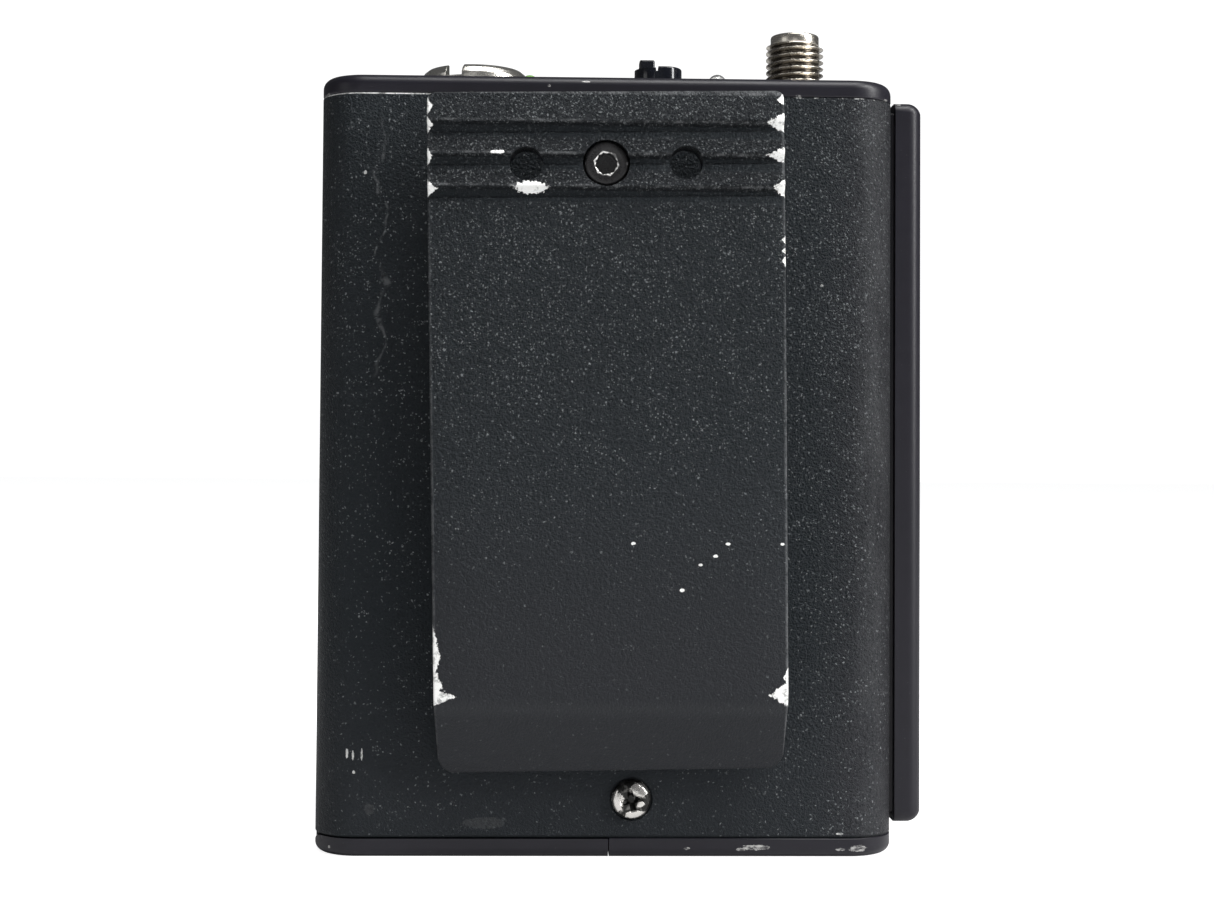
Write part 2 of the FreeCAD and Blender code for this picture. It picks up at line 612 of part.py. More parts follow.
def make_clip_leaf():
    """Springy lower part of the clip, down to the bend and the turned-in tip."""
    middle = CLIP_FACE + LEAF_T / 2
    half_t = LEAF_T / 2
    slope = math.radians(BEND_DEG)
    tip_y = middle + (BEND_Z - TIP_Z) * math.tan(slope)
    nx = math.cos(slope) * half_t
    nz = math.sin(slope) * half_t
    setback = half_t * math.tan(slope / 2)
    outline = [(CLIP_FACE, FLEX_Z), (CLIP_FACE, BEND_Z - setback), (tip_y - nx, TIP_Z - nz),
               (tip_y + nx, TIP_Z + nz), (CLIP_FACE + LEAF_T, BEND_Z + setback),
               (CLIP_FACE + LEAF_T, FLEX_Z)]
    half = CLIP_W / 2
    leaf = profile_x(outline, CLIP_X - half, CLIP_X + half)
    bend = [e for e in leaf.Edges if e.BoundBox.XLength > CLIP_W - 0.01
            and abs(e.BoundBox.ZMin - BEND_Z) < setback + 0.01]
    outer = [e for e in bend if e.BoundBox.YMin < middle]
    leaf = leaf.makeFillet(BEND_R + half_t, outer)
    inner = [e for e in leaf.Edges if e.BoundBox.XLength > CLIP_W - 0.01
             and e.BoundBox.YMin > middle and abs(e.BoundBox.ZMin - BEND_Z - setback) < 0.01]
    leaf = leaf.makeFillet(BEND_R - half_t, inner)
    mask = box(CLIP_X - half, CLIP_FACE - 5, TIP_Z - nz, CLIP_X + half, CLIP_FACE + 15, FLEX_Z)
    low = [e for e in mask.Edges if e.BoundBox.YLength > 19 and e.BoundBox.ZMax < TIP_Z + 0.1]
    leaf = leaf.common(mask.makeFillet(TIP_CORNER_R, low))
    root = rod(half_t, V(CLIP_X - half, middle, FLEX_Z), X_AXIS, CLIP_W)
    return lean(leaf.fuse(root))


def make_clip_spacer():
    start = V(CLIP_X, CLIP_FACE + HEAD_T, CLIP_SCREW_Z)
    return ring(CLIP_SPACER_R, CLIP_SCREW_R + CLIP_HOLE_CLEAR, start, Y_AXIS,
                -HALF_D - CLIP_FACE - HEAD_T)


def make_clip_screw():
    under_head = CLIP_FACE + CLIP_BORE_DEPTH
    top = V(CLIP_X, under_head - CLIP_SCREW_HEAD_H, CLIP_SCREW_Z)
    head = rod(CLIP_SCREW_HEAD_R, top, Y_AXIS, CLIP_SCREW_HEAD_H)
    head = head.makeFillet(0.15, edges_at(head, "y", top.y))
    shank = rod(CLIP_SCREW_R, V(CLIP_X, under_head, CLIP_SCREW_Z), Y_AXIS,
                -INNER_Y + CLIP_NUT_T - under_head)
    socket = hexagon(HEX_SOCKET_AF, top, Y_AXIS, HEX_SOCKET_DEPTH)
    return head.fuse(shank).cut(socket)


def make_clip_nut():
    plate = box(CLIP_X - CLIP_NUT_HALF_X, -INNER_Y, CLIP_SCREW_Z - CLIP_NUT_HALF_Z,
                CLIP_X + CLIP_NUT_HALF_X, -INNER_Y + CLIP_NUT_T, CLIP_SCREW_Z + CLIP_NUT_HALF_Z)
    return plate.cut(rod(CLIP_SCREW_R + 0.01, V(CLIP_X, -INNER_Y, CLIP_SCREW_Z), Y_AXIS, 2))


# ------------------------------------------------------------- screws
def make_rear_screw():
    seat = -HALF_D + REAR_SPOT_DEPTH
    face = seat - REAR_HEAD_H
    head = rod(REAR_HEAD_R, V(REAR_SCREW_X, face, REAR_SCREW_Z), Y_AXIS, REAR_HEAD_H)
    head = head.makeFillet(0.8, edges_at(head, "y", face))
    screw = head.fuse(rod(M2_R, V(REAR_SCREW_X, seat, REAR_SCREW_Z), Y_AXIS, REAR_SCREW_LEN))
    half_w = REAR_CROSS_W / 2
    for dx, dz in ((REAR_CROSS_HALF, half_w), (half_w, REAR_CROSS_HALF)):
        screw = screw.cut(box(REAR_SCREW_X - dx, face, REAR_SCREW_Z - dz, REAR_SCREW_X + dx,
                              face + REAR_CROSS_DEPTH, REAR_SCREW_Z + dz))
    return screw


def make_top_screws():
    return [flat_screw(V(x, y, TOTAL_H), -Z_AXIS, TOP_SCREW_LEN) for x, y in corner_points()]


def make_bottom_screws():
    places = corner_points((1,)) + [(CATCH_SCREW_X, 0)]
    return [flat_screw(V(x, y, 0), Z_AXIS, BOTTOM_SCREW_LEN) for x, y in places]


def make_board_screws():
    screws = []
    for x, z in BOARD_SCREWS:
        head = rod(BOARD_HEAD_R, V(x, BOARD_Y0 - 1.0, z), Y_AXIS, 1.0)
        screws.append(head.fuse(rod(BOARD_SCREW_R, V(x, BOARD_Y0, z), Y_AXIS, BOARD_T + 1.5)))
    return screws


# ------------------------------------------------------- microphone input jack
def make_jack_shell():
    length = JACK_RIM_Z - JACK_BASE_Z
    shell = rod(JACK_SHELL_R, V(JACK_X, 0, JACK_BASE_Z), Z_AXIS, length)
    flange = rod(JACK_NUT_R - 0.2, V(JACK_X, 0, CASE_Z1 - JACK_FLANGE_T), Z_AXIS, JACK_FLANGE_T)
    bore = rod(JACK_BORE_R, V(JACK_X, 0, JACK_BASE_Z - 1), Z_AXIS, length + 2)
    key = box(JACK_X - JACK_KEY_HALF_X, JACK_BORE_R - 0.5, JACK_FLOOR_Z, JACK_X + JACK_KEY_HALF_X,
              JACK_BORE_R + 0.2, JACK_RIM_Z - 0.5)
    return shell.fuse(flange).cut(bore).fuse(key)


def make_jack_nut():
    shoulder = TOTAL_H + JACK_NUT_H - JACK_NUT_CHAMFER
    nut = rod(JACK_NUT_R, V(JACK_X, 0, TOTAL_H), Z_AXIS, JACK_NUT_H - JACK_NUT_CHAMFER)
    nut = nut.fuse(cone(JACK_NUT_R, JACK_NUT_TOP_R, V(JACK_X, 0, shoulder), Z_AXIS, JACK_NUT_CHAMFER))
    nut = nut.cut(rod(JACK_SHELL_R + 0.02, V(JACK_X, 0, TOTAL_H - 1), Z_AXIS, JACK_NUT_H + 2))
    notch = box(-JACK_NOTCH_HALF, -8, 0, JACK_NOTCH_HALF, 8, JACK_NOTCH_DEPTH + 1)
    notch.rotate(V(0, 0, 0), Z_AXIS, JACK_NOTCH_ANGLE)
    notch.translate(V(JACK_X, 0, TOTAL_H + JACK_NUT_H - JACK_NOTCH_DEPTH))
    return nut.cut(notch)


def jack_pin_places():
    places = []
    for i in range(5):
        a = math.radians(90 + 72 * i + 36)
        places.append((JACK_X + JACK_PIN_CIRCLE * math.cos(a), JACK_PIN_CIRCLE * math.sin(a)))
    return places


def make_jack_insert():
    base = JACK_BASE_Z + 0.2
    insert = rod(JACK_BORE_R - 0.02, V(JACK_X, 0, base), Z_AXIS, JACK_FLOOR_Z - base)
    for x, y in jack_pin_places():
        insert = insert.cut(rod(JACK_PIN_R + 0.01, V(x, y, base - 1), Z_AXIS, JACK_FLOOR_Z - base + 2))
    return insert


def make_jack_pins():
    pins = []
    for x, y in jack_pin_places():
        pin = rod(JACK_PIN_R, V(x, y, JACK_PIN_BASE), Z_AXIS, JACK_PIN_TOP - JACK_PIN_BASE)
        pins.append(pin.makeFillet(0.3, edges_at(pin, "z", JACK_PIN_TOP)))
    return pins


# ------------------------------------------------------------ power switch
def slider_slot(z0, z1, margin):
    """Space that the slider's nub needs over its whole travel."""
    return box(NUB_X0 - margin, -NUB_HALF_Y - margin, z0, NUB_X0 + NUB_W + SWITCH_TRAVEL + margin,
               NUB_HALF_Y + margin, z1)


def make_switch_guard():
    guard = upright_block(SWITCH_X - GUARD_HALF_X, -GUARD_HALF_Y, TOTAL_H, SWITCH_X + GUARD_HALF_X,
                          GUARD_HALF_Y, TOTAL_H + GUARD_H, GUARD_HALF_Y - 0.1)
    guard = guard.makeFillet(0.25, edges_at(guard, "z", TOTAL_H + GUARD_H))
    guard = guard.cut(slider_slot(TOTAL_H - 1, TOTAL_H + 5, 0.13))
    notch_x = SWITCH_X - 0.25
    return guard.cut(box(notch_x - GUARD_NOTCH_W / 2, -5, TOTAL_H + GUARD_NOTCH_FLOOR,
                         notch_x + GUARD_NOTCH_W / 2, 5, TOTAL_H + 5))


def make_switch_body():
    body = box(SWITCH_X - SWITCH_HALF_X, -SWITCH_HALF_Y, SWITCH_BASE, SWITCH_X + SWITCH_HALF_X,
               SWITCH_HALF_Y, CASE_Z1)
    return body.cut(slider_slot(NUB_BASE - 0.1, CASE_Z1 + 1, 0.1))


def make_switch_slider():
    nub = box(NUB_X0, -NUB_HALF_Y, NUB_BASE, NUB_X0 + NUB_W, NUB_HALF_Y, NUB_TOP)
    nub = nub.makeFillet(0.2, edges_at(nub, "z", NUB_TOP))
    for part in (1, 2):
        x = NUB_X0 + NUB_W * part / 3
        nub = nub.cut(box(x - NUB_GRIP_W / 2, -2, NUB_TOP - NUB_GRIP_DEPTH, x + NUB_GRIP_W / 2, 2,
                          NUB_TOP + 1))
    return nub


# ----------------------------------------------------------- indicator lamps
def make_led(x, top):
    lamp = rod(LED_R, V(x, LED_Y, LED_BASE), Z_AXIS, top - LED_R - LED_BASE)
    dome = Part.makeSphere(LED_R, V(x, LED_Y, top - LED_R))
    return lamp.fuse(dome).fuse(rod(LED_RIM_R, V(x, LED_Y, LED_BASE), Z_AXIS, LED_RIM_H))


# ----------------------------------------------------------- gain control
def make_gain_body():
    body = box(GAIN_X - GAIN_HALF_X, -GAIN_HALF_Y, GAIN_BASE, GAIN_X + GAIN_HALF_X, GAIN_HALF_Y, CASE_Z1)
    return body.cut(rod(GAIN_R + GAIN_CLEAR, V(GAIN_X, 0, GAIN_SHAFT_BASE - 0.1), Z_AXIS, 5))


def make_gain_shaft():
    """Short shaft whose slot runs out at one side, which shows where it points."""
    top = TOTAL_H - GAIN_RECESS
    shaft = rod(GAIN_R, V(GAIN_X, 0, GAIN_SHAFT_BASE), Z_AXIS, top - GAIN_SHAFT_BASE)
    shaft = shaft.makeFillet(0.15, edges_at(shaft, "z", top))
    return shaft.cut(box(GAIN_X - GAIN_SLOT_W / 2, -1.2, top - GAIN_SLOT_DEPTH,
                         GAIN_X + GAIN_SLOT_W / 2, GAIN_R + 1, top + 1))


# ----------------------------------------------------------- antenna socket
def make_sma_shell():
    thread_top = SMA_TOP - SMA_LEAD_IN
    shell = rod(SMA_R, V(SMA_X, 0, SMA_BASE), Z_AXIS, thread_top - SMA_BASE)
    shell = shell.cut(ring(SMA_R + 1, SMA_CORE_R, V(SMA_X, 0, TOTAL_H + 0.05), Z_AXIS, SMA_UNDERCUT_H))
    lead = rod(SMA_CORE_R + 0.05, V(SMA_X, 0, thread_top), Z_AXIS, SMA_LEAD_IN)
    lead = lead.makeFillet(0.2, edges_at(lead, "z", SMA_TOP))
    return shell.fuse(lead).cut(rod(SMA_BORE_R, V(SMA_X, 0, SMA_BASE - 1), Z_AXIS, 20))


def make_sma_nut():
    nut = hexagon(SMA_NUT_AF, V(SMA_X, 0, CASE_Z1 - SMA_NUT_H), Z_AXIS, SMA_NUT_H)
    return nut.cut(rod(SMA_R + 0.02, V(SMA_X, 0, CASE_Z1 - SMA_NUT_H - 1), Z_AXIS, SMA_NUT_H + 2))


def make_sma_insulator():
    sleeve = rod(SMA_BORE_R - 0.01, V(SMA_X, 0, SMA_BASE), Z_AXIS, SMA_TOP - 0.3 - SMA_BASE)
    return sleeve.cut(rod(SMA_PIN_R + 0.01, V(SMA_X, 0, SMA_BASE - 1), Z_AXIS, 20))


def make_sma_contact():
    """Hollow, slit centre contact of the socket."""
    base = LEAD_Z + LEAD_T
    pin = rod(SMA_PIN_R, V(SMA_X, 0, base), Z_AXIS, SMA_TOP - SMA_PIN_RECESS - base)
    pin = pin.cut(rod(SMA_PIN_BORE_R, V(SMA_X, 0, SMA_TOP - 2.6), Z_AXIS, 4))
    return pin.cut(box(SMA_X - 0.08, -2, SMA_TOP - 2.4, SMA_X + 0.08, 2, SMA_TOP))


def make_antenna_lead():
    return box(SMA_X - LEAD_W / 2, -LEAD_W / 2, LEAD_Z, SMA_X + LEAD_W / 2, BOARD_Y0, LEAD_Z + LEAD_T)


# ------------------------------------------------------------- electronics
def make_main_board():
    y1 = BOARD_Y0 + BOARD_T
    board = box(BAY_X1 + DIVIDER_T + 0.3, BOARD_Y0, BOARD_Z0, BOARD_X, y1, BOARD_Z1)
    board = board.fuse(box(-BOARD_X, BOARD_Y0, WING_Z0, BAY_X1 + DIVIDER_T + 0.3, y1, BOARD_Z1))
    for x, z in BOARD_SCREWS:
        board = board.cut(rod(BOARD_SCREW_R + 0.06, V(x, BOARD_Y0 - 1, z), Y_AXIS, 4))
    return board


def make_shield_can():
    can = box(CAN_X0, BOARD_Y0 - CAN_H, CAN_Z0, CAN_X1, BOARD_Y0, CAN_Z1)
    return can.cut(box(CAN_X0 + CAN_T, BOARD_Y0 - CAN_H + CAN_T, CAN_Z0 + CAN_T, CAN_X1 - CAN_T,
                       BOARD_Y0, CAN_Z1 - CAN_T))


def make_capacitors():
    return [rod(CAPACITOR_R, V(x, BOARD_Y0 - CAPACITOR_H, z), Y_AXIS, CAPACITOR_H) for x, z in CAPACITORS]


def make_ic_chips():
    return [box(x, BOARD_Y0 - CHIP_H, z, x + w, BOARD_Y0, z + h) for x, z, w, h in CHIPS]


def make_crystal():
    return upright_block(CRYSTAL_X0, BOARD_Y0 - CRYSTAL_H, CRYSTAL_Z0, CRYSTAL_X1, BOARD_Y0, CRYSTAL_Z1, 1.5)


def make_contact_board():
    board = upright_block(-INNER_X + 0.1, -INNER_Y + 0.1, BAY_TOP, BAY_X1 + 5, INNER_Y - 0.1,
                          BAY_TOP + CONTACT_BOARD_T, INNER_R)
    return board.common(box(-HALF_W, -HALF_D, BAY_TOP, BAY_X1 - 0.1, HALF_D, BAY_TOP + CONTACT_BOARD_T))


def make_contact_positive():
    """Springy cup that grips the battery's round stud."""
    start = V(BAY_MID_X - TERMINAL_PITCH / 2, 0, BAY_TOP - CONTACT_H)
    floor = CONTACT_H - 0.3
    cup = ring(3.6, 3.0, start, Z_AXIS, CONTACT_H)
    cup = cup.fuse(rod(3.6, start + V(0, 0, floor), Z_AXIS, CONTACT_H - floor))
    slit = box(start.x - 5, -0.25, start.z, start.x + 5, 0.25, start.z + floor)
    return cup.cut(slit)


def make_contact_negative():
    """Round stud that the battery's spring cup grips."""
    start = V(BAY_MID_X + TERMINAL_PITCH / 2, 0, BAY_TOP - STUD_H)
    stud = rod(2.8, start, Z_AXIS, STUD_H / 2).fuse(rod(2.4, start, Z_AXIS, STUD_H))
    return stud.makeFillet(0.3, edges_at(stud, "z", start.z))


# ---------------------------------------------------------------- export
SINGLE = {
    "case_shell": make_case_shell(),
    "label_plate": make_label_plate(0),
    "top_panel": make_top_panel(),
    "bottom_plate": make_bottom_plate(),
    "battery_door": make_battery_door(),
    "door_pad": make_door_pad(),
    "hinge_pin": make_hinge_pin(),
    "catch_block": make_catch_block(),
    "catch_spring": make_catch_spring(),
    "side_panel": make_side_panel(),
    "clip_head": make_clip_head(),
    "clip_leaf": make_clip_leaf(),
    "clip_spacer": make_clip_spacer(),
    "clip_screw": make_clip_screw(),
    "clip_nut": make_clip_nut(),
    "rear_screw": make_rear_screw(),
    "jack_shell": make_jack_shell(),
    "jack_nut": make_jack_nut(),
    "jack_insert": make_jack_insert(),
    "switch_guard": make_switch_guard(),
    "switch_body": make_switch_body(),
    "switch_slider": make_switch_slider(),
    "power_led": make_led(POWER_LED_X, POWER_LED_TOP),
    "audio_led": make_led(AUDIO_LED_X, AUDIO_LED_TOP),
    "gain_body": make_gain_body(),
    "gain_shaft": make_gain_shaft(),
    "sma_shell": make_sma_shell(),
    "sma_nut": make_sma_nut(),
    "sma_insulator": make_sma_insulator(),
    "sma_contact": make_sma_contact(),
    "antenna_lead": make_antenna_lead(),
    "main_board": make_main_board(),
    "shield_can": make_shield_can(),
    "crystal": make_crystal(),
    "contact_board": make_contact_board(),
    "contact_positive": make_contact_positive(),
    "contact_negative": make_contact_negative(),
}
for which, height in SELECTOR_Z.items():
    SINGLE["selector_body_" + which] = make_selector_body(height)
    SINGLE["selector_rotor_" + which] = make_selector_rotor(height)

GROUPS = {
    "top_screws": make_top_screws(),
    "bottom_screws": make_bottom_screws(),
    "side_screws": make_side_screws(),
    "board_screws": make_board_screws(),
    "jack_pins": make_jack_pins(),
    "capacitors": make_capacitors(),
    "ic_chips": make_ic_chips(),
}

for name, shape in SINGLE.items():
    if len(shape.Solids) != 1 or not shape.isValid():
        raise RuntimeError(name + " is not one valid solid")
    export(name, shape)
for name, shapes in GROUPS.items():
    export(name, Part.makeCompound(shapes))
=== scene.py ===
"""Looks of a wireless bodypack transmitter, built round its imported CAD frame.

Lengths in this script are millimetres unless a name says otherwise; meshes are written in metres.
+Z is up, -Y is the belt-clip side, +X is the control-panel side.
"""
import json
import math
import bmesh
import bpy
from mathutils import Matrix, Vector


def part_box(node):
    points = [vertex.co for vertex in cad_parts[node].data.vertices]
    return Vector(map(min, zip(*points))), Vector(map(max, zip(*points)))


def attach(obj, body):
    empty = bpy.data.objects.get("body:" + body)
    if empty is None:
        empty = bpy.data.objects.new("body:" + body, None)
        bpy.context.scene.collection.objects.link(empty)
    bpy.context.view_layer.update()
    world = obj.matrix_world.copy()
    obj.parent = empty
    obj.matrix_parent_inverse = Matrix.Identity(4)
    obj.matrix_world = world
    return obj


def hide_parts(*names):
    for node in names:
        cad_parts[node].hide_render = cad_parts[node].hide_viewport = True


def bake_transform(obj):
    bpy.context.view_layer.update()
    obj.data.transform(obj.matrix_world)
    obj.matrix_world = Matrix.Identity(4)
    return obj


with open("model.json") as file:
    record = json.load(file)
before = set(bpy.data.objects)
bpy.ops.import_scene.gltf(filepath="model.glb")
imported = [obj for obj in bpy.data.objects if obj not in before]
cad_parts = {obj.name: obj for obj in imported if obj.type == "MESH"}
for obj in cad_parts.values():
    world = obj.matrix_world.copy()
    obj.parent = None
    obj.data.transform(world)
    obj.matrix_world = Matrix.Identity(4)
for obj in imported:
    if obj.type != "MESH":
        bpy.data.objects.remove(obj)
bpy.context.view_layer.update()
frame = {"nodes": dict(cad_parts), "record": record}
MM = 0.001


def mm_box(node):
    low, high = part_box(node)
    return low / MM, high / MM


# ---------------------------------------------------------------- dimensions
# case, end plates, door and side panel
CASE_HI = mm_box("case_shell")[1]
TOP_LO, TOP_HI = mm_box("top_panel")
BASE_LO, BASE_HI = mm_box("bottom_plate")
DOOR_HI = mm_box("battery_door")[1]
PANEL_LO, PANEL_HI = mm_box("side_panel")
HALF_W = CASE_HI.x
HALF_D = CASE_HI.y
CORNER_R = 4.6
TOTAL_H = TOP_HI.z
SEAM_TOP = TOP_LO.z
TOP_ROUND = 1.1
BASE_ROUND = 0.95
PANEL_ROUND = 1.5
PANEL_CORNER_R = 1.2
PANEL_FOOT_INSET = 1.0
PANEL_GAP = 0.4
EDGE_BREAK = 0.12
# door and bottom plate each reach this far past the CAD edge, which narrows the seam between them
SEAM_TRIM = 0.05
# how far a cutter runs past the face that it cuts
BEYOND = 1.0

# belt clip
CLIP_X = -0.4
CLIP_SCREW_Z = 70.0
CLIP_LEAN = math.radians(-0.9)
CLIP_HALF_TOP = 17.8
CLIP_HALF_BEND = 17.55
CLIP_HALF_TIP = 17.3
CLIP_TAPER_Z = 60.0
CLIP_FACE = -16.0
CLIP_TOP = 77.2
HEAD_T = 3.0
HEAD_RISE = 0.10
LEAF_T = 1.5
FIRST_CREST_Z = 74.25
TOOTH_PITCH = 3.24
TOOTH_H = 0.6
TEETH = 3
# the clip bends about this height when it is pulled out, over this distance above and below
FLEX_Z = 65.2
FLEX_HALF = 1.0
BEND_Z = 16.5
BEND_DEG = 28.0
TIP_Z = 9.5
CLIP_HOLE_R = 1.68
CLIP_HOLE_X = 7.97
CLIP_BORE_R = 2.36
CLIP_BORE_DEPTH = 1.8
CLIP_SCREW_HOLE_R = 1.34
CLIP_EDGE_R = 0.2
# turn of the clip screw's hexagon in degrees, and the directions of its flats
HEX_PHASE = 12
HEX_TURNS = [math.radians(30 - HEX_PHASE + 60 * i) for i in range(3)]

# what stands in the top plate, and the holes for it
JACK_X = -14.25
JACK_HOLE_R = 4.73
JACK_SLOT_DEG = -21
JACK_SLOT_HALF = 0.92
JACK_SLOT_DEPTH = 1.2
SMA_X = 20.4
SMA_R = 3.1
SMA_ROOT_R = 2.56
SMA_LEAD_R = 2.60
SMA_BORE_R = 2.25
SMA_NECK_R = 2.55
SMA_HOLE_R = 3.13
THREAD_PITCH = 25.4 / 36
SWITCH_X = 5.55
SWITCH_WINDOW_X = (3.4, 7.45)
SWITCH_WINDOW_HALF_Y = 1.05
GAIN_X = -2.2
GAIN_HOLE_R = 1.63
GAIN_SINK_R = 2.15
LED_Y = 3.7
LED_R = 1.0
LED_HOLE_R = 1.03
POWER_LED_X = 12.3
AUDIO_LED_X = -8.4

# battery door
HINGE_R = 0.95
HINGE_X = -HALF_W + HINGE_R + 0.03
HINGE_Z = HINGE_R
PIN_BORE_R = 0.45
EAR_Y = 4.0
EAR_CUT_HALF = 1.15
EAR_CLEAR = 0.15
RIB_START = 3.0
RIB_PITCH = 1.4
RIB_HALF = 0.3
RIB_DEPTH = 0.3
RIB_HALF_Y = 5.0

# screws and selectors
CORNER_X = 25.6
CORNER_Y = 5.8
CORNERS = [(sx * CORNER_X, sy * CORNER_Y) for sx in (-1, 1) for sy in (-1, 1)]
CATCH_SCREW_X = 4.0
BASE_SCREWS = [(CORNER_X, CORNER_Y), (CORNER_X, -CORNER_Y), (CATCH_SCREW_X, 0)]
SELECTOR_Z = {"coarse": 58.0, "fine": 46.0}
SELECTOR_HOLE_R = 3.0
SIDE_SCREW_Z = (8.0, 72.0)
PAN_HEAD_H = 1.25
BOLT_HEAD_H = 1.6
BOLT_HEAD_R = 2.23
HEX_ACROSS = 2.0

# wear: (x, z, half width, half height) of each patch on a face
CASE_STROKES = [(-26.2, 10.5, 0.13, 0.55), (-25.6, 10.3, 0.12, 0.45), (-24.7, 10.4, 0.10, 0.6),
                (-25.5, 8.6, 0.13, 0.2), (-17.6, 70.6, 0.22, 0.22), (-24.95, 69.75, 0.16, 0.2),
                (22.0, 58.5, 0.14, 0.14), (24.0, 2.45, 0.35, 0.1)]
CASE_SMUDGES = [(-12.2, 3.5, 2.2, 0.55), (-23.9, 4.9, 0.5, 0.6)]
CLIP_PATCHES = [(CLIP_X - 7.5, 67.5, 1.6, 0.6), (CLIP_X - 10.8, 70.95, 0.75, 0.2)]
CLIP_PATCHES += [(x, z, 0.22, 0.15) for x, z in
                 ((2.5, 32.2), (7.4, 27.6), (9.2, 30.1), (10.7, 31.0), (11.9, 32.2), (17.3, 32.2))]
PLATE_PATCHES = [(25.9, 0.95, 0.9, 0.34), (24.1, 0.85, 0.5, 0.14), (15.4, 1.05, 1.5, 0.26),
                 (13.9, 0.85, 0.5, 0.16), (8.4, 0.95, 0.3, 0.14), (-28.0, 0.9, 0.14, 0.14),
                 (-2.4, 79.35, 0.5, 0.10), (-6.2, 78.9, 0.16, 0.13)]
PLATE_PATCH_Y = -9.6
# chips along the clip's two side edges: (height, half length, reach inwards)
CLIP_LEFT_CHIPS = [(75.5, 0.95, 0.62), (73.6, 0.8, 0.62), (70.5, 0.95, 0.5), (67.25, 0.85, 0.95),
                   (21.0, 3.0, 0.75), (18.2, 2.0, 1.0), (17.0, 0.9, 2.3)]
CLIP_RIGHT_CHIPS = [(76.5, 0.6, 0.8), (74.2, 0.95, 1.9), (70.95, 0.75, 1.9), (67.65, 0.95, 1.3),
                    (62.5, 0.45, 0.4), (61.4, 0.35, 0.4), (60.4, 0.6, 0.36), (17.3, 1.3, 2.0),
                    (19.0, 1.0, 0.5)]

# camera, in degrees for the turns
CAMERA_PLACE = (-5.26, -200.0, 40.8)
CAMERA_YAW = 1.576
CAMERA_PITCH = 1.740
CAMERA_ROLL = 0.375
CAMERA_LENS = 55.0456
CAMERA_SHIFT_Y = -0.0457166


# ------------------------------------------------------------- mesh helpers
def build(name, points, faces):
    mesh = bpy.data.meshes.new(name)
    mesh.from_pydata([Vector(p) * MM for p in points], [], faces)
    work = bmesh.new()
    work.from_mesh(mesh)
    bmesh.ops.recalc_face_normals(work, faces=work.faces)
    work.to_mesh(mesh)
    work.free()
    obj = bpy.data.objects.new(name, mesh)
    bpy.context.scene.collection.objects.link(obj)
    return obj


def loft(name, rings, closed=False):
    """A skin over rings of equally many points; an open loft gets a cap at each end."""
    n = len(rings[0])
    points = [p for ring in rings for p in ring]
    faces = []
    for i in range(len(rings) if closed else len(rings) - 1):
        a = i * n
        b = (i + 1) % len(rings) * n
        faces += [(a + j, a + (j + 1) % n, b + (j + 1) % n, b + j) for j in range(n)]
    if not closed:
        faces.append(tuple(reversed(range(n))))
        faces.append(tuple(range((len(rings) - 1) * n, len(rings) * n)))
    return build(name, points, faces)


def lathe(name, profile, n, closed=False):
    """Turns (radius, height) points about +Z."""
    angles = [2 * math.pi * j / n for j in range(n)]
    return loft(name, [[(r * math.cos(a), r * math.sin(a), z) for a in angles] for r, z in profile], closed)


def rod(name, radius, z0, z1, n=64):
    return lathe(name, [(radius, z0), (radius, z1)], n)


def block(name, x0, y0, z0, x1, y1, z1):
    return loft(name, [[(x0, y0, z), (x1, y0, z), (x1, y1, z), (x0, y1, z)] for z in (z0, z1)])


def rounded_rect(x0, y0, x1, y1, r, steps):
    points = []
    corners = ((x1 - r, y1 - r), (x0 + r, y1 - r), (x0 + r, y0 + r), (x1 - r, y0 + r))
    for quadrant, (cx, cy) in enumerate(corners):
        for i in range(steps + 1):
            a = math.pi / 2 * (quadrant + i / steps)
            points.append((cx + r * math.cos(a), cy + r * math.sin(a)))
    return points


def slab(name, x0, y0, x1, y1, r, levels, steps):
    """An upright rounded block; levels are (inset, height) pairs from bottom to top."""
    rings = []
    for inset, z in levels:
        outline = rounded_rect(x0 + inset, y0 + inset, x1 - inset, y1 - inset, max(r - inset, 0.05), steps)
        rings.append([(x, y, z) for x, y in outline])
    return loft(name, rings)


def quarter(radius, steps):
    """(inset, drop) along a rounded edge, from the side face round to the end face."""
    turns = [math.pi / 2 * i / steps for i in range(steps + 1)]
    return [(radius * (1 - math.cos(a)), radius * (1 - math.sin(a))) for a in turns]


NEARLY_STRAIGHT = math.pi - 0.01


def fillet(corners, steps):
    """Rounds a closed outline given as (u, v, radius) corners."""
    out = []
    count = len(corners)
    for i, (u, v, radius) in enumerate(corners):
        here = Vector((u, v))
        before = Vector(corners[i - 1][:2]) - here
        after = Vector(corners[(i + 1) % count][:2]) - here
        turn = before.angle(after)
        if radius <= 0 or turn > NEARLY_STRAIGHT:
            out.append((u, v))
            continue
        reach = min(radius / math.tan(turn / 2), 0.49 * before.length, 0.49 * after.length)
        real = reach * math.tan(turn / 2)
        a = here + before.normalized() * reach
        b = here + after.normalized() * reach
        centre = here + (before.normalized() + after.normalized()).normalized() * (real / math.sin(turn / 2))
        va = a - centre
        vb = b - centre
        sweep = va.angle_signed(vb)
        for k in range(steps + 1):
            p = Vector(va)
            p.rotate(Matrix.Rotation(-sweep * k / steps, 2))
            out.append(tuple(centre + p))
    return out


def bake(obj):
    """Applies the object's modifiers to its mesh."""
    graph = bpy.context.evaluated_depsgraph_get()
    made = bpy.data.meshes.new_from_object(obj.evaluated_get(graph))
    obj.modifiers.clear()
    old = obj.data
    obj.data = made
    bpy.data.meshes.remove(old)
    return obj


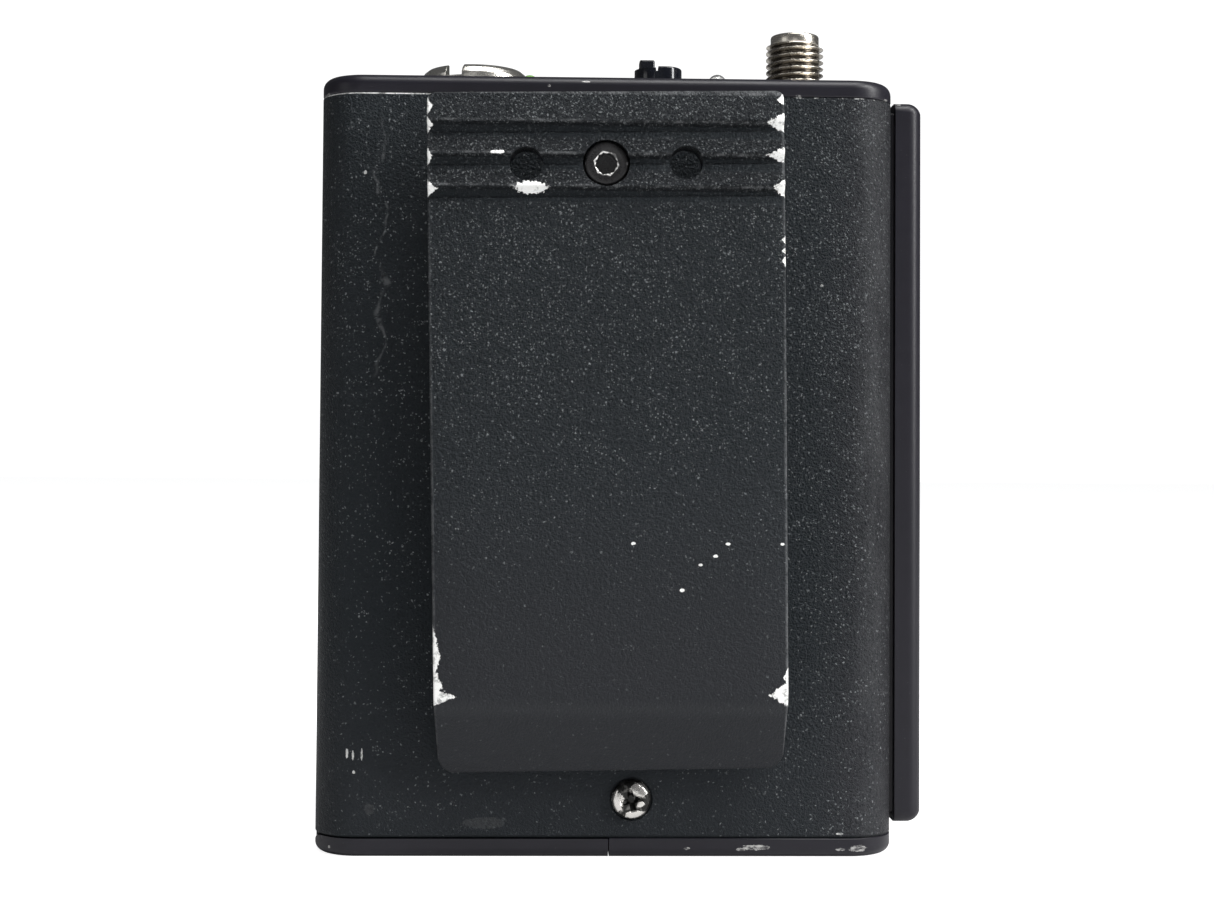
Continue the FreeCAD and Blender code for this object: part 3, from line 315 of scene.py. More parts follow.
def combine(obj, tools, operation="DIFFERENCE"):
    """Cuts the tools out of obj, joins them to it, or keeps what they share."""
    for tool in tools:
        step = obj.modifiers.new("combine", "BOOLEAN")
        step.operation = operation
        step.solver = "EXACT"
        step.object = tool
    bake(obj)
    for tool in tools:
        bpy.data.objects.remove(tool)
    return obj


def turned(obj, matrix):
    obj.data.transform(matrix)
    return obj


def at(obj, x, y, z, up="z"):
    """Puts an object made about the origin at a place, with its +Z turned to another direction."""
    if up == "-z":
        turn = Matrix.Rotation(math.pi, 4, "X")
    else:
        aims = {"z": (0, 0, 1), "x": (1, 0, 0), "-y": (0, -1, 0), "y": (0, 1, 0)}
        turn = Vector((0, 0, 1)).rotation_difference(Vector(aims[up])).to_matrix().to_4x4()
    return turned(obj, Matrix.Translation(Vector((x, y, z)) * MM) @ turn)


def bevel(obj, width, segments, angle):
    step = obj.modifiers.new("bevel", "BEVEL")
    step.width = width * MM
    step.segments = segments
    step.limit_method = "ANGLE"
    step.angle_limit = math.radians(angle)
    return bake(obj)


def dress(obj, body, slot, replaces=(), sharp=38, weighted=True):
    """Shades a finished piece, gives it its material and ties it to its CAD body."""
    for face in obj.data.polygons:
        face.use_smooth = True
    obj.data.set_sharp_from_angle(angle=math.radians(sharp))
    if weighted:
        step = obj.modifiers.new("normals", "WEIGHTED_NORMAL")
        step.keep_sharp = True
        bake(obj)
    obj.data.materials.clear()
    obj.data.materials.append(MATERIALS[slot])
    if body:
        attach(obj, body)
    if replaces:
        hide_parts(*replaces)
    return obj


def merge(name, parts):
    """One object from several, with no cutting."""
    work = bmesh.new()
    for part in parts:
        work.from_mesh(part.data)
        bpy.data.objects.remove(part)
    mesh = bpy.data.meshes.new(name)
    work.to_mesh(mesh)
    work.free()
    obj = bpy.data.objects.new(name, mesh)
    bpy.context.scene.collection.objects.link(obj)
    return obj


# ---------------------------------------------------------- material helper
def grey(value):
    return (value, value, value, 1)


def shade(color, factor):
    return tuple(c * factor for c in color) + (1,)


class Shader:
    """A Principled material whose patterns are measured in millimetres on the object."""

    SOCKETS = {"color": "Base Color", "rough": "Roughness", "metal": "Metallic", "normal": "Normal",
               "ior": "IOR", "spec": "Specular IOR Level", "tint": "Specular Tint",
               "clear": "Transmission Weight", "glow": "Emission Color", "glow_power": "Emission Strength"}

    def __init__(self, name, rest=False):
        self.mat = bpy.data.materials.new(name)
        self.mat.use_nodes = True
        self.tree = self.mat.node_tree
        self.tree.nodes.clear()
        self.bsdf = self.tree.nodes.new("ShaderNodeBsdfPrincipled")
        out = self.tree.nodes.new("ShaderNodeOutputMaterial")
        self.tree.links.new(self.bsdf.outputs[0], out.inputs[0])
        if rest:
            place = self.add("ShaderNodeAttribute", {}, attribute_name="rest").outputs["Vector"]
        else:
            place = self.add("ShaderNodeTexCoord", {}).outputs["Object"]
        self.pos = self.scaled(place, 1 / MM)
        self.x, self.y, self.z = self.add("ShaderNodeSeparateXYZ", {0: self.pos}).outputs

    def add(self, kind, inputs, **settings):
        node = self.tree.nodes.new(kind)
        for key, value in settings.items():
            setattr(node, key, value)
        for key, value in inputs.items():
            if isinstance(value, bpy.types.NodeSocket):
                self.tree.links.new(value, node.inputs[key])
            else:
                node.inputs[key].default_value = value
        return node

    def noise(self, scale, detail=2.0, rough=0.5, distort=0.0, vec=None):
        node = self.add("ShaderNodeTexNoise", {"Vector": vec or self.pos, "Scale": scale, "Detail": detail,
                                               "Roughness": rough, "Distortion": distort})
        return node.outputs[0]

    def cells(self, scale, vec=None):
        """Distance to the nearest of scattered points, and the three random numbers of that point."""
        node = self.add("ShaderNodeTexVoronoi", {"Vector": vec or self.pos, "Scale": scale})
        return node.outputs[0], self.add("ShaderNodeSeparateXYZ", {0: node.outputs[1]}).outputs

    def vector(self, op, a, b):
        return self.add("ShaderNodeVectorMath", {0: a, 1: b}, operation=op).outputs[0]

    def scaled(self, vector, factor):
        return self.add("ShaderNodeVectorMath", {0: vector, 3: factor}, operation="SCALE").outputs[0]

    def stretch(self, x, y, z):
        return self.vector("MULTIPLY", self.pos, (x, y, z))

    def along(self, vector, direction):
        node = self.add("ShaderNodeVectorMath", {0: vector, 1: direction}, operation="DOT_PRODUCT")
        return node.outputs[1]

    def math(self, op, a, b=0.0):
        return self.add("ShaderNodeMath", {0: a, 1: b}, operation=op).outputs[0]

    def fold(self, op, values):
        total = values[0]
        for value in values[1:]:
            total = self.math(op, total, value)
        return total

    def times(self, *values):
        return self.fold("MULTIPLY", values)

    def plus(self, *values):
        return self.fold("ADD", values)

    def either(self, *values):
        return self.fold("MAXIMUM", values)

    def minus(self, a, b):
        return self.math("SUBTRACT", a, b)

    def rest_of(self, value):
        """What is left of 1."""
        return self.minus(1.0, value)

    def step(self, value, low, high, to0=0.0, to1=1.0):
        node = self.add("ShaderNodeMapRange", {"Value": value, "From Min": low, "From Max": high,
                                               "To Min": to0, "To Max": to1}, interpolation_type="SMOOTHSTEP")
        return node.outputs[0]

    def mix(self, fac, a, b):
        return self.add("ShaderNodeMix", {0: fac, 6: a, 7: b}, data_type="RGBA").outputs[2]

    def band(self, value, low, high, soft):
        rise = self.step(value, low - soft, low + soft)
        fall = self.step(value, high - soft, high + soft, 1.0, 0.0)
        return self.times(rise, fall)

    def spot(self, centre, radii):
        """1 in the middle of an ellipsoid, 0 on its surface and below 0 outside."""
        away = self.vector("DIVIDE", self.vector("SUBTRACT", self.pos, centre), radii)
        length = self.add("ShaderNodeVectorMath", {0: away}, operation="LENGTH").outputs[1]
        return self.rest_of(length)

    def spots(self, places, face_y, deep, ragged, scale):
        """Ragged patches, as a mask from 0 to 1; places are (x, z, half width, half height)."""
        field = self.either(*[self.spot((x, face_y, z), (wide, deep, high)) for x, z, wide, high in places])
        wobble = self.times(self.minus(self.noise(scale, 4, 0.65), 0.5), ragged)
        return self.step(self.plus(field, wobble), -0.03, 0.05)

    def bump(self, height, depth):
        inputs = {"Height": height, "Distance": depth * MM, "Strength": 1.0}
        return self.add("ShaderNodeBump", inputs).outputs[0]

    def finish(self, **sockets):
        for key, value in sockets.items():
            target = self.bsdf.inputs[self.SOCKETS[key]]
            if isinstance(value, bpy.types.NodeSocket):
                self.tree.links.new(value, target)
            else:
                target.default_value = value
        return self.mat


# ----------------------------------------------------------------- materials
CASE_BLACK = (0.0125, 0.0165, 0.0195)
CLIP_BLACK = (0.0135, 0.0170, 0.0190)
# paler coat colour; on the case's right corner it is painted light
COAT_PALE = (0.0236, 0.0220, 0.0242, 1)
# pale flecks, partly painted glints
COAT_FLECK_AND_GLINT = (0.26, 0.275, 0.28, 1)
# darkening: painted shade in the clip's grooves, and darker along the case's lower seam
COAT_DARKENED = (0.0025, 0.0032, 0.0038, 1)
# pale marks: rubbed wear and painted highlights
COAT_RUB_AND_HIGHLIGHT = (0.22, 0.225, 0.23, 1)
COAT_SHEEN = (0.78, 0.90, 1.0, 1.0)
CASE_DEEP = 20
CLIP_DEEP = 30
SCREW_DEEP = 40


def powder_coat(name, dark, speck_area, light_area, chips, marks, rest=False):
    """Rough black powder coat: fine relief, pale flecks that are partly painted glints where it is rough,
    painted shade in the low spots of the relief, and chips down to bare metal.

    speck_area, light_area, chips and marks take the shader. They say where the coat is rough, where it is
    paler, where it is chipped off, where it is made pale by rubbing and painted highlights, and where it is
    darkened by painted shade and along a seam.
    """
    s = Shader(name, rest)
    grain = s.noise(3.6, 3, 0.62, 0.4)
    fine = s.noise(8.0, 2, 0.6)
    warp = s.add("ShaderNodeTexNoise", {"Vector": s.pos, "Scale": 3.0, "Detail": 1.0}).outputs[1]
    bent = s.vector("ADD", s.pos, s.scaled(warp, 0.45))
    area = speck_area(s)
    amount = s.times(area, s.step(s.noise(0.28, 3, 0.65), 0.32, 0.70, 0.5, 1.2))
    # pale flecks, partly painted glints: more of them where the coat is rough
    dots = []
    for scale, size, crowd in ((2.3, 0.34, 0.42), (3.9, 0.44, 0.75)):
        away, chance = s.cells(scale, bent)
        picked = s.step(s.plus(chance[0], s.times(amount, crowd)), 0.90, 1.15)
        bright = s.step(chance[1], 0.0, 1.0, 0.12, 0.85)
        dots.append(s.times(s.step(away, size, size * 0.3), s.times(picked, bright)))
    flecks_and_glints = s.either(*dots)
    body = s.mix(light_area(s), shade(dark, 0.42), COAT_PALE)
    # painted shade in the low spots of the grain relief
    pit_shade = s.times(s.step(grain, 0.52, 0.38), s.step(area, 0.0, 0.6, 0.12, 0.85))
    body = s.mix(pit_shade, body, shade(dark, 0.16))
    body = s.mix(flecks_and_glints, body, COAT_FLECK_AND_GLINT)
    # pale marks are rubbed wear and painted highlights; the darkening is painted shade and a darker seam
    pale_marks, darkened = marks(s)
    body = s.mix(darkened, body, COAT_DARKENED)
    body = s.mix(pale_marks, body, COAT_RUB_AND_HIGHLIGHT)
    worn = chips(s)
    bare = s.mix(s.step(s.noise(1.3, 4, 0.75), 0.34, 0.50), (0.40, 0.40, 0.39, 1), (0.97, 0.97, 0.95, 1))
    rough = s.mix(worn, s.mix(grain, grey(0.30), grey(0.52)), grey(0.45))
    lift = s.times(s.step(area, 0.0, 0.9, 0.25, 1.0), s.rest_of(s.times(worn, 0.85)),
                   s.rest_of(s.times(darkened, 0.8)))
    height = s.plus(s.times(grain, 1.5), s.times(fine, 0.35), s.times(flecks_and_glints, 0.25))
    height = s.minus(s.times(height, lift), s.times(worn, 0.35))
    return s.finish(color=s.mix(worn, body, bare), rough=rough, metal=s.times(worn, 0.35),
                    normal=s.bump(height, 0.42), spec=0.245, tint=COAT_SHEEN)


def case_coat():
    # more flecks, and with them more painted glints, towards the right corner and higher up
    def area(s):
        return s.times(s.step(s.x, 12.0, 27.5, 0.45, 0.95), s.step(s.z, 0.0, 70.0, 0.35, 1.0))

    # paler towards the right corner, which is painted light falling from the right; also a little paler low
    # down
    def light(s):
        return s.plus(s.step(s.x, 20.0, 28.0, 0.14, 1.0), s.step(s.z, 26.0, 8.0, 0.0, 0.22))

    def chips(s):
        """Bare rim under the top plate, mostly at its left, then short strokes and faint smudges."""
        upright = s.stretch(1, 1, 0.05)
        rim = s.band(s.z, SEAM_TOP - 0.15, SEAM_TOP + 0.05, 0.03)
        broken = s.times(s.step(s.noise(0.5, 4, 0.7, vec=upright), 0.36, 0.50), s.step(s.x, -16.0, -20.0))
        sparse = s.times(s.step(s.noise(1.1, 3, 0.6, vec=upright), 0.54, 0.64), 0.6)
        strokes = s.spots(CASE_STROKES, -HALF_D, CASE_DEEP, 1.6, 3.6)
        smudges = s.spots(CASE_SMUDGES, -HALF_D, CASE_DEEP, 1.4, 3.6)
        rim = s.times(rim, s.either(broken, sparse))
        return s.either(rim, s.times(strokes, 0.6), s.times(smudges, 0.022))

    def marks(s):
        """One wandering scratch at the upper left and a patchy painted highlight down the right corner, which
        also stands for dust; darker along the lower seam.
        """
        waved = s.plus(s.x, s.times(s.noise(0.22, 2, 0.5), 5.0))
        scratch = s.times(s.band(waved, -20.9, -20.6, 0.14), s.band(s.z, 50.0, 74.0, 4.0),
                          s.step(s.noise(0.9, 3, 0.6), 0.42, 0.6), s.step(s.y, -9.0, -9.8), 0.35)
        # painted highlight down the right corner, broken up like dust
        patchy = s.step(s.noise(0.35, 3, 0.6, vec=s.stretch(1, 1, 0.3)), 0.25, 0.7)
        corner = s.times(s.band(s.x, 25.8, 29.2, 1.3), patchy, s.step(s.z, 0.0, 55.0, 0.05, 0.13))
        return s.either(scratch, corner), s.band(s.z, 1.0, 2.2, 0.1)

    return powder_coat("case_coat", CASE_BLACK, area, light, chips, marks)


def clip_coat():
    def area(s):
        return s.plus(s.step(s.z, 18.0, 64.0, 0.02, 0.78), s.step(s.z, 65.0, 67.5, 0.0, 0.75))

    def light(s):
        return s.plus(s.step(s.z, 46.0, 14.0, 0.22, 0.72), s.step(s.z, 65.0, 67.5, 0.0, 0.25))

    def across(s):
        """Distance from the leaning middle line, and how far inside the side edge a point is."""
        lean = (math.cos(CLIP_LEAN), 0, -math.sin(CLIP_LEAN))
        start = CLIP_X * lean[0] + CLIP_SCREW_Z * lean[2]
        offset = s.minus(s.along(s.pos, lean), start)
        half = s.add("ShaderNodeMapRange", {"Value": s.z, "From Min": BEND_Z, "From Max": CLIP_TAPER_Z,
                                            "To Min": CLIP_HALF_BEND, "To Max": CLIP_HALF_TOP}).outputs[0]
        return offset, s.minus(half, s.math("ABSOLUTE", offset))

    def edge_chips(s, side, places):
        """Chips that eat inwards from one side edge, near the front face."""
        offset, inside = across(s)
        wedges = []
        for z, long, reach in places:
            up = s.math("DIVIDE", s.math("ABSOLUTE", s.minus(s.z, z)), long)
            wedges.append(s.minus(s.rest_of(up), s.math("DIVIDE", inside, reach)))
        ragged = s.times(s.minus(s.noise(2.6, 3, 0.7), 0.5), 1.1)
        chipped = s.step(s.plus(s.either(*wedges), ragged), -0.02, 0.05)
        return s.times(chipped, s.step(s.times(offset, side), 10.0, 11.0), s.step(s.y, -14.7, -15.3))

    def chips(s):
        return s.either(edge_chips(s, -1, CLIP_LEFT_CHIPS), edge_chips(s, 1, CLIP_RIGHT_CHIPS),
                        s.spots(CLIP_PATCHES, CLIP_FACE, CLIP_DEEP, 1.7, 2.6))

    def marks(s):
        """Painted highlights, partly rubbed wear, on the side edges (stronger on the right), the top and the
        tooth crests, and a faint one on the bend; painted shade in the grooves under the crests.
        """
        heights = [FIRST_CREST_Z - i * TOOTH_PITCH for i in range(TEETH)]
        # painted shade in the grooves under the crests
        grooves = s.plus(*[s.band(s.z, z - 1.75, z - 0.40, 0.22) for z in heights])
        # thin painted highlight along each crest, broken up like wear
        crests = s.plus(*[s.band(s.z, z - 0.22, z + 0.02, 0.10) for z in heights])
        crests = s.times(crests, s.step(s.noise(0.8, 4, 0.7), 0.46, 0.66, 0.05, 0.55))
        # painted highlight along the side edges, stronger on the right where the light falls, and along the
        # top edge; partly rubbed wear
        offset, inside = across(s)
        side = s.times(s.step(inside, 0.34, 0.16), s.step(offset, 8.0, 9.0, 0.25, 0.4))
        top = s.step(s.z, CLIP_TOP - 0.42, CLIP_TOP - 0.20, 0.0, 0.6)
        edge = s.times(s.either(side, top), s.step(s.noise(0.9, 3, 0.7), 0.38, 0.62, 0.2, 1.0))
        # faint painted highlight on the bend
        bend = s.times(s.band(s.z, 15.2, 16.4, 0.7), 0.03)
        return s.either(edge, crests, bend), s.times(grooves, 0.8)

    return powder_coat("clip_coat", CLIP_BLACK, area, light, chips, marks, rest=True)


def plate_anodised():
    """Smooth black anodised plate with a faint drawn grain, dust and chipped edges."""
    s = Shader("plate_anodised")
    cloud = s.noise(0.35, 4, 0.6)
    lines = s.noise(1.2, 3, 0.6, vec=s.stretch(0.25, 1, 6))
    dust = s.step(s.noise(4.5, 2, 0.5), 0.70, 0.78)
    edge = s.band(s.z, SEAM_TOP - 0.02, SEAM_TOP + 0.22, 0.05)
    edge = s.times(edge, s.step(s.noise(0.8, 3, 0.7), 0.58, 0.66))
    broken = s.step(s.noise(1.7, 4, 0.8, vec=s.stretch(0.7, 1, 2.2)), 0.42, 0.60, 0.08, 1.0)
    chips = s.times(s.spots(PLATE_PATCHES, PLATE_PATCH_Y, CASE_DEEP, 1.2, 3.4), broken)
    worn = s.either(s.times(edge, 0.4), s.times(chips, 0.7))
    body = s.mix(cloud, (0.0065, 0.0060, 0.0100, 1), (0.0125, 0.0115, 0.0175, 1))
    body = s.mix(s.times(dust, 0.35), body, (0.09, 0.09, 0.095, 1))
    color = s.mix(worn, body, (0.72, 0.71, 0.69, 1))
    rough = s.mix(lines, grey(0.30), grey(0.46))
    height = s.plus(s.times(lines, 0.5), s.times(s.noise(6.0, 3, 0.6), 0.5))
    normal = s.bump(height, 0.010)
    return s.finish(color=color, rough=rough, normal=normal, metal=s.times(worn, 0.4), spec=0.34)


def metal(name, low, high, rough_low, rough_high, depth=0.006, scale=2.5, stained=None, metallic=1.0):
    """Plated or plain metal with fine handling marks; stained takes the shader and its clean colour."""
    s = Shader(name)
    hair = s.noise(scale * 3, 3, 0.6, vec=s.stretch(1, 1, 7))
    color = s.mix(s.noise(scale * 0.3, 4, 0.6), low, high)
    if stained:
        color = stained(s, color)
    rough = s.mix(s.noise(scale, 4, 0.65), grey(rough_low), grey(rough_high))
    normal = s.bump(s.plus(hair, s.noise(scale * 2, 2)), depth)
    return s.finish(color=color, rough=rough, metal=metallic, normal=normal)


def moulded(name, low, high, rough_low, rough_high, depth=0.012, scale=5.0):
    """Moulded plastic, rubber or epoxy with a fine spark-eroded grain."""
    s = Shader(name)
    grain = s.noise(scale, 4, 0.6)
    pale = tuple(min(1, c * 2.2 + 0.02) for c in low[:3]) + (1,)
    color = s.mix(s.noise(scale * 0.12, 4, 0.6), low, high)
    color = s.mix(s.step(s.noise(scale * 0.8, 2), 0.68, 0.8, 0.0, 0.35), color, pale)
    rough = s.mix(grain, grey(rough_low), grey(rough_high))
    return s.finish(color=color, rough=rough, normal=s.bump(grain, depth), spec=0.5)


def nickel():
    """Nickel plate: warmer on the antenna socket, with dirt in its thread and a few dull stains."""
    def stained(s, color):
        dx = s.minus(s.x, SMA_X)
        radius = s.math("SQRT", s.plus(s.times(dx, dx), s.times(s.y, s.y)))
        dirt = s.times(s.step(radius, 2.60, 2.90, 0.85, 0.0), s.band(s.z, TOTAL_H, 85.3, 0.1),
                       s.step(radius, 3.6, 3.3))
        stain = s.times(s.step(s.noise(0.8, 4, 0.7), 0.52, 0.70, 0.0, 0.45), 0.7)
        color = s.mix(s.times(s.step(s.x, 14.0, 16.0), 0.3), color, (0.66, 0.57, 0.45, 1))
        return s.mix(s.either(dirt, stain), color, (0.07, 0.055, 0.040, 1))

    return metal("nickel", (0.66, 0.63, 0.57, 1), (0.80, 0.78, 0.73, 1), 0.16, 0.34, 0.008, 2.2, stained)


def worn_screw():
    """Black oxide rubbed back to bright steel on the high spots, with dirt in the cross."""
    s = Shader("bright_steel")
    low, high = mm_box("rear_screw")
    x = (low.x + high.x) / 2
    z = (low.z + high.z) / 2
    patches = [(x + 0.75, z + 1.0, 1.0, 0.75), (x - 1.45, z - 0.1, 0.65, 1.1),
               (x + 0.55, z - 1.5, 1.3, 0.5), (x + 0.9, z - 0.35, 0.4, 0.3)]
    dirty = s.step(s.spot((x, 0, z), (0.95, SCREW_DEEP, 0.95)), 0.05, 0.35)
    pale_marks = s.times(s.spots(patches, 0, SCREW_DEEP, 1.3, 2.2), s.rest_of(dirty))
    pale_marks = s.either(pale_marks, s.times(s.step(s.noise(1.1, 3, 0.6), 0.5, 0.62), 0.22))
    color = s.mix(pale_marks, (0.030, 0.030, 0.029, 1), (0.72, 0.70, 0.67, 1))
    normal = s.bump(s.plus(s.times(pale_marks, 0.4), s.noise(3.0, 3, 0.6)), 0.03)
    return s.finish(color=color, rough=s.mix(pale_marks, grey(0.34), grey(0.24)), metal=0.9, normal=normal)


def black_oxide():
    """Blackened screw steel with a bright rim round the mouth of the clip screw's hexagon, partly rubbed wear
    and partly a painted highlight.
    """
    s = Shader("black_oxide_steel")
    local = s.vector("SUBTRACT", s.pos, (CLIP_X, 0, CLIP_SCREW_Z))
    flats = [(math.cos(turn), 0, math.sin(turn)) for turn in HEX_TURNS]
    reach = s.either(*[s.math("ABSOLUTE", s.along(local, flat)) for flat in flats])
    # bright rim: rubbed steel and painted highlight
    rim = s.times(s.band(reach, 0.99, 1.15, 0.03), s.step(s.noise(0.9, 2, 0.5), 0.40, 0.52, 0.15, 1.0),
                  s.step(s.y, -15.4, -15.5))
    color = s.mix(s.noise(0.8, 4, 0.6), (0.010, 0.010, 0.011, 1), (0.030, 0.029, 0.030, 1))
    color = s.mix(rim, color, (0.92, 0.91, 0.89, 1))
    rough = s.mix(s.noise(2.5, 4, 0.65), grey(0.20), grey(0.36))
    metallic = s.plus(0.35, s.times(rim, 0.2))
    return s.finish(color=color, rough=rough, metal=metallic, normal=s.bump(s.noise(5.0, 3), 0.006))


def lens(name, low, high, clear):
    s = Shader(name)
    color = s.mix(s.noise(1.1, 3, 0.5), low, high)
    rough = s.mix(s.noise(3.0, 3, 0.6), grey(0.05), grey(0.16))
    return s.finish(color=color, rough=rough, clear=clear, ior=1.5, normal=s.bump(s.noise(4.0, 2), 0.004))


def circuit_board():
    """Green board with copper tracks under the mask and tinned pads."""
    s = Shader("board_green")
    across = s.cells(0.55, s.stretch(1, 0.2, 1))[0]
    tracks = s.band(s.math("FRACT", s.times(across, 3.0)), 0.42, 0.58, 0.03)
    pads = s.step(s.cells(0.42)[0], 0.30, 0.24)
    color = s.mix(tracks, (0.012, 0.075, 0.035, 1), (0.025, 0.15, 0.07, 1))
    color = s.mix(s.times(pads, 0.6), color, (0.55, 0.50, 0.34, 1))
    normal = s.bump(s.plus(tracks, s.noise(5.0, 2)), 0.02)
    return s.finish(color=color, rough=s.mix(pads, grey(0.32), grey(0.22)), normal=normal, spec=0.5)


def label_film():
    """Blank rating plate: brushed dark film with one thin border line."""
    s = Shader("label_film")
    hair = s.noise(2.0, 4, 0.6, vec=s.stretch(0.12, 1, 9))

    half_w = 18.6
    foot = 23.4
    top = 60.6
    line_w = 0.3

    def inside(trim):
        within = s.band(s.x, trim - half_w, half_w - trim, 0.05)
        return s.times(within, s.band(s.z, foot + trim, top - trim, 0.05))

    body = s.mix(hair, (0.030, 0.031, 0.034, 1), (0.055, 0.056, 0.060, 1))
    color = s.mix(s.minus(inside(0), inside(line_w)), body, (0.42, 0.42, 0.41, 1))
    rough = s.mix(hair, grey(0.34), grey(0.50))
    return s.finish(color=color, rough=rough, normal=s.bump(hair, 0.01), spec=0.5)


# dark and light colour, lowest and highest roughness, then depth and scale of the relief where they differ
METALS = {
    "spring_steel": ((0.42, 0.41, 0.39, 1), (0.60, 0.58, 0.55, 1), 0.2, 0.36),
    "gold": ((0.78, 0.55, 0.22, 1), (0.90, 0.70, 0.34, 1), 0.14, 0.3, 0.004),
    "tinned": ((0.50, 0.50, 0.48, 1), (0.66, 0.66, 0.63, 1), 0.28, 0.48, 0.012, 1.2),
    "clip_spacer_black": ((0.02, 0.02, 0.022, 1), (0.045, 0.044, 0.046, 1), 0.3, 0.5, 0.006, 2.5, None, 0.3),
}
MOULDINGS = {
    "insulator_black": ((0.014, 0.014, 0.015, 1), (0.028, 0.028, 0.030, 1), 0.4, 0.6),
    "ptfe": ((0.74, 0.73, 0.69, 1), (0.88, 0.87, 0.84, 1), 0.35, 0.55, 0.006),
    "switch_plastic": ((0.003, 0.004, 0.007, 1), (0.008, 0.009, 0.014, 1), 0.10, 0.20, 0.004),
    "control_rotor": ((0.60, 0.58, 0.52, 1), (0.72, 0.70, 0.64, 1), 0.35, 0.5, 0.008),
    "pad_rubber": ((0.018, 0.018, 0.018, 1), (0.035, 0.035, 0.034, 1), 0.75, 0.95, 0.08, 2.6),
    "component_black": ((0.018, 0.018, 0.020, 1), (0.040, 0.040, 0.042, 1), 0.45, 0.7),
}
MATERIALS = {
    "case_coat": case_coat(),
    "clip_coat": clip_coat(),
    "plate_anodised": plate_anodised(),
    "label_film": label_film(),
    "black_oxide_steel": black_oxide(),
    "bright_steel": worn_screw(),
    "nickel": nickel(),
    "clear_lens": lens("clear_lens", (0.88, 0.88, 0.86, 1), (0.97, 0.97, 0.95, 1), 0.85),
    "green_lens": lens("green_lens", (0.32, 0.72, 0.16, 1), (0.50, 0.88, 0.30, 1), 0.5),
    "board_green": circuit_board(),
}
MATERIALS.update({name: metal(name, *look) for name, look in METALS.items()})
MATERIALS.update({name: moulded(name, *look) for name, look in MOULDINGS.items()})

for sub in frame["record"]["subparts"]:
    node = frame["nodes"][sub["node"]]
    node.data.materials.clear()
    node.data.materials.append(MATERIALS[sub["material_slot"]])


# ------------------------------------------------------------------ belt clip
def clip_profile():
    """Closed (y, z) outline of the bent clip: ribbed thick head, springy leaf and turned-in tip."""
    face = CLIP_FACE
    back = face + LEAF_T
    half_t = LEAF_T / 2
    middle = face + half_t
    slope = math.radians(BEND_DEG)
    tip_y = middle + (BEND_Z - TIP_Z) * math.tan(slope)
    nx = half_t * math.cos(slope)
    nz = half_t * math.sin(slope)
    setback = half_t * math.tan(slope / 2)
    flex = [FLEX_Z + d for d in (FLEX_HALF, FLEX_HALF / 2, 0.0, -FLEX_HALF / 2, -FLEX_HALF)]
    leaf = [60.0, 50.0, 40.0, 30.0, 22.0]
    below_top = (0.8, 0.6, 0.42)
    near_tip = (0.04, 0.1, 0.2, 0.35)
    outer_tip = Vector((tip_y - nx, TIP_Z - nz))
    outer_bend = Vector((face, BEND_Z - setback))
    inner_tip = Vector((tip_y + nx, TIP_Z + nz))
    inner_bend = Vector((back, BEND_Z + setback))
    corners = [(*outer_tip, 0.4)]
    corners += [(*outer_tip.lerp(outer_bend, part), 0) for part in near_tip]
    corners.append((*outer_bend, 3.75))
    corners += [(face, z, 0) for z in reversed(flex + leaf)]
    for i in reversed(range(TEETH)):
        crest = FIRST_CREST_Z - i * TOOTH_PITCH
        corners += [(face, crest - 1.20, 0.12), (face + 0.2, crest - 1.0, 0.12),
                    (face - 0.02, crest - 0.66, 0.2), (face - TOOTH_H, crest, 0.26)]
        if i:
            corners.append((face, crest + 1.15, 0.8))
    corners.append((face - 0.12, CLIP_TOP - 1.1, 1.5))
    corners += [(face - HEAD_RISE, CLIP_TOP - d, 0) for d in below_top]
    corners += [(face - HEAD_RISE, CLIP_TOP, 0.28), (face + HEAD_T, CLIP_TOP, 0.28)]
    corners += [(face + HEAD_T, CLIP_TOP - d, 0) for d in reversed(below_top)]
    corners += [(face + HEAD_T, FLEX_Z + 2.0, 0.25), (back, FLEX_Z + 1.2, 0.5)]
    corners += [(back, z, 0) for z in flex + leaf]
    corners.append((*inner_bend, 2.25))
    corners += [(*inner_tip.lerp(inner_bend, part), 0) for part in reversed(near_tip)]
    corners.append((*inner_tip, 0.4))
    return fillet(corners, 4)


def clip_half_width(z):
    """Half the clip's width at a height: it narrows downwards and its corners are rounded."""
    low = TIP_Z - 0.35
    if z > BEND_Z:
        part = min((z - BEND_Z) / (CLIP_TAPER_Z - BEND_Z), 1)
        half = CLIP_HALF_BEND + (CLIP_HALF_TOP - CLIP_HALF_BEND) * part
    else:
        half = CLIP_HALF_TIP + (CLIP_HALF_BEND - CLIP_HALF_TIP) * (z - low) / (BEND_Z - low)
    for corner, reach in ((CLIP_TOP, 0.8), (low, 1.6)):
        into = reach - abs(corner - z)
        if into > 0:
            half -= reach - math.sqrt(max(reach * reach - into * into, 0))
    return half


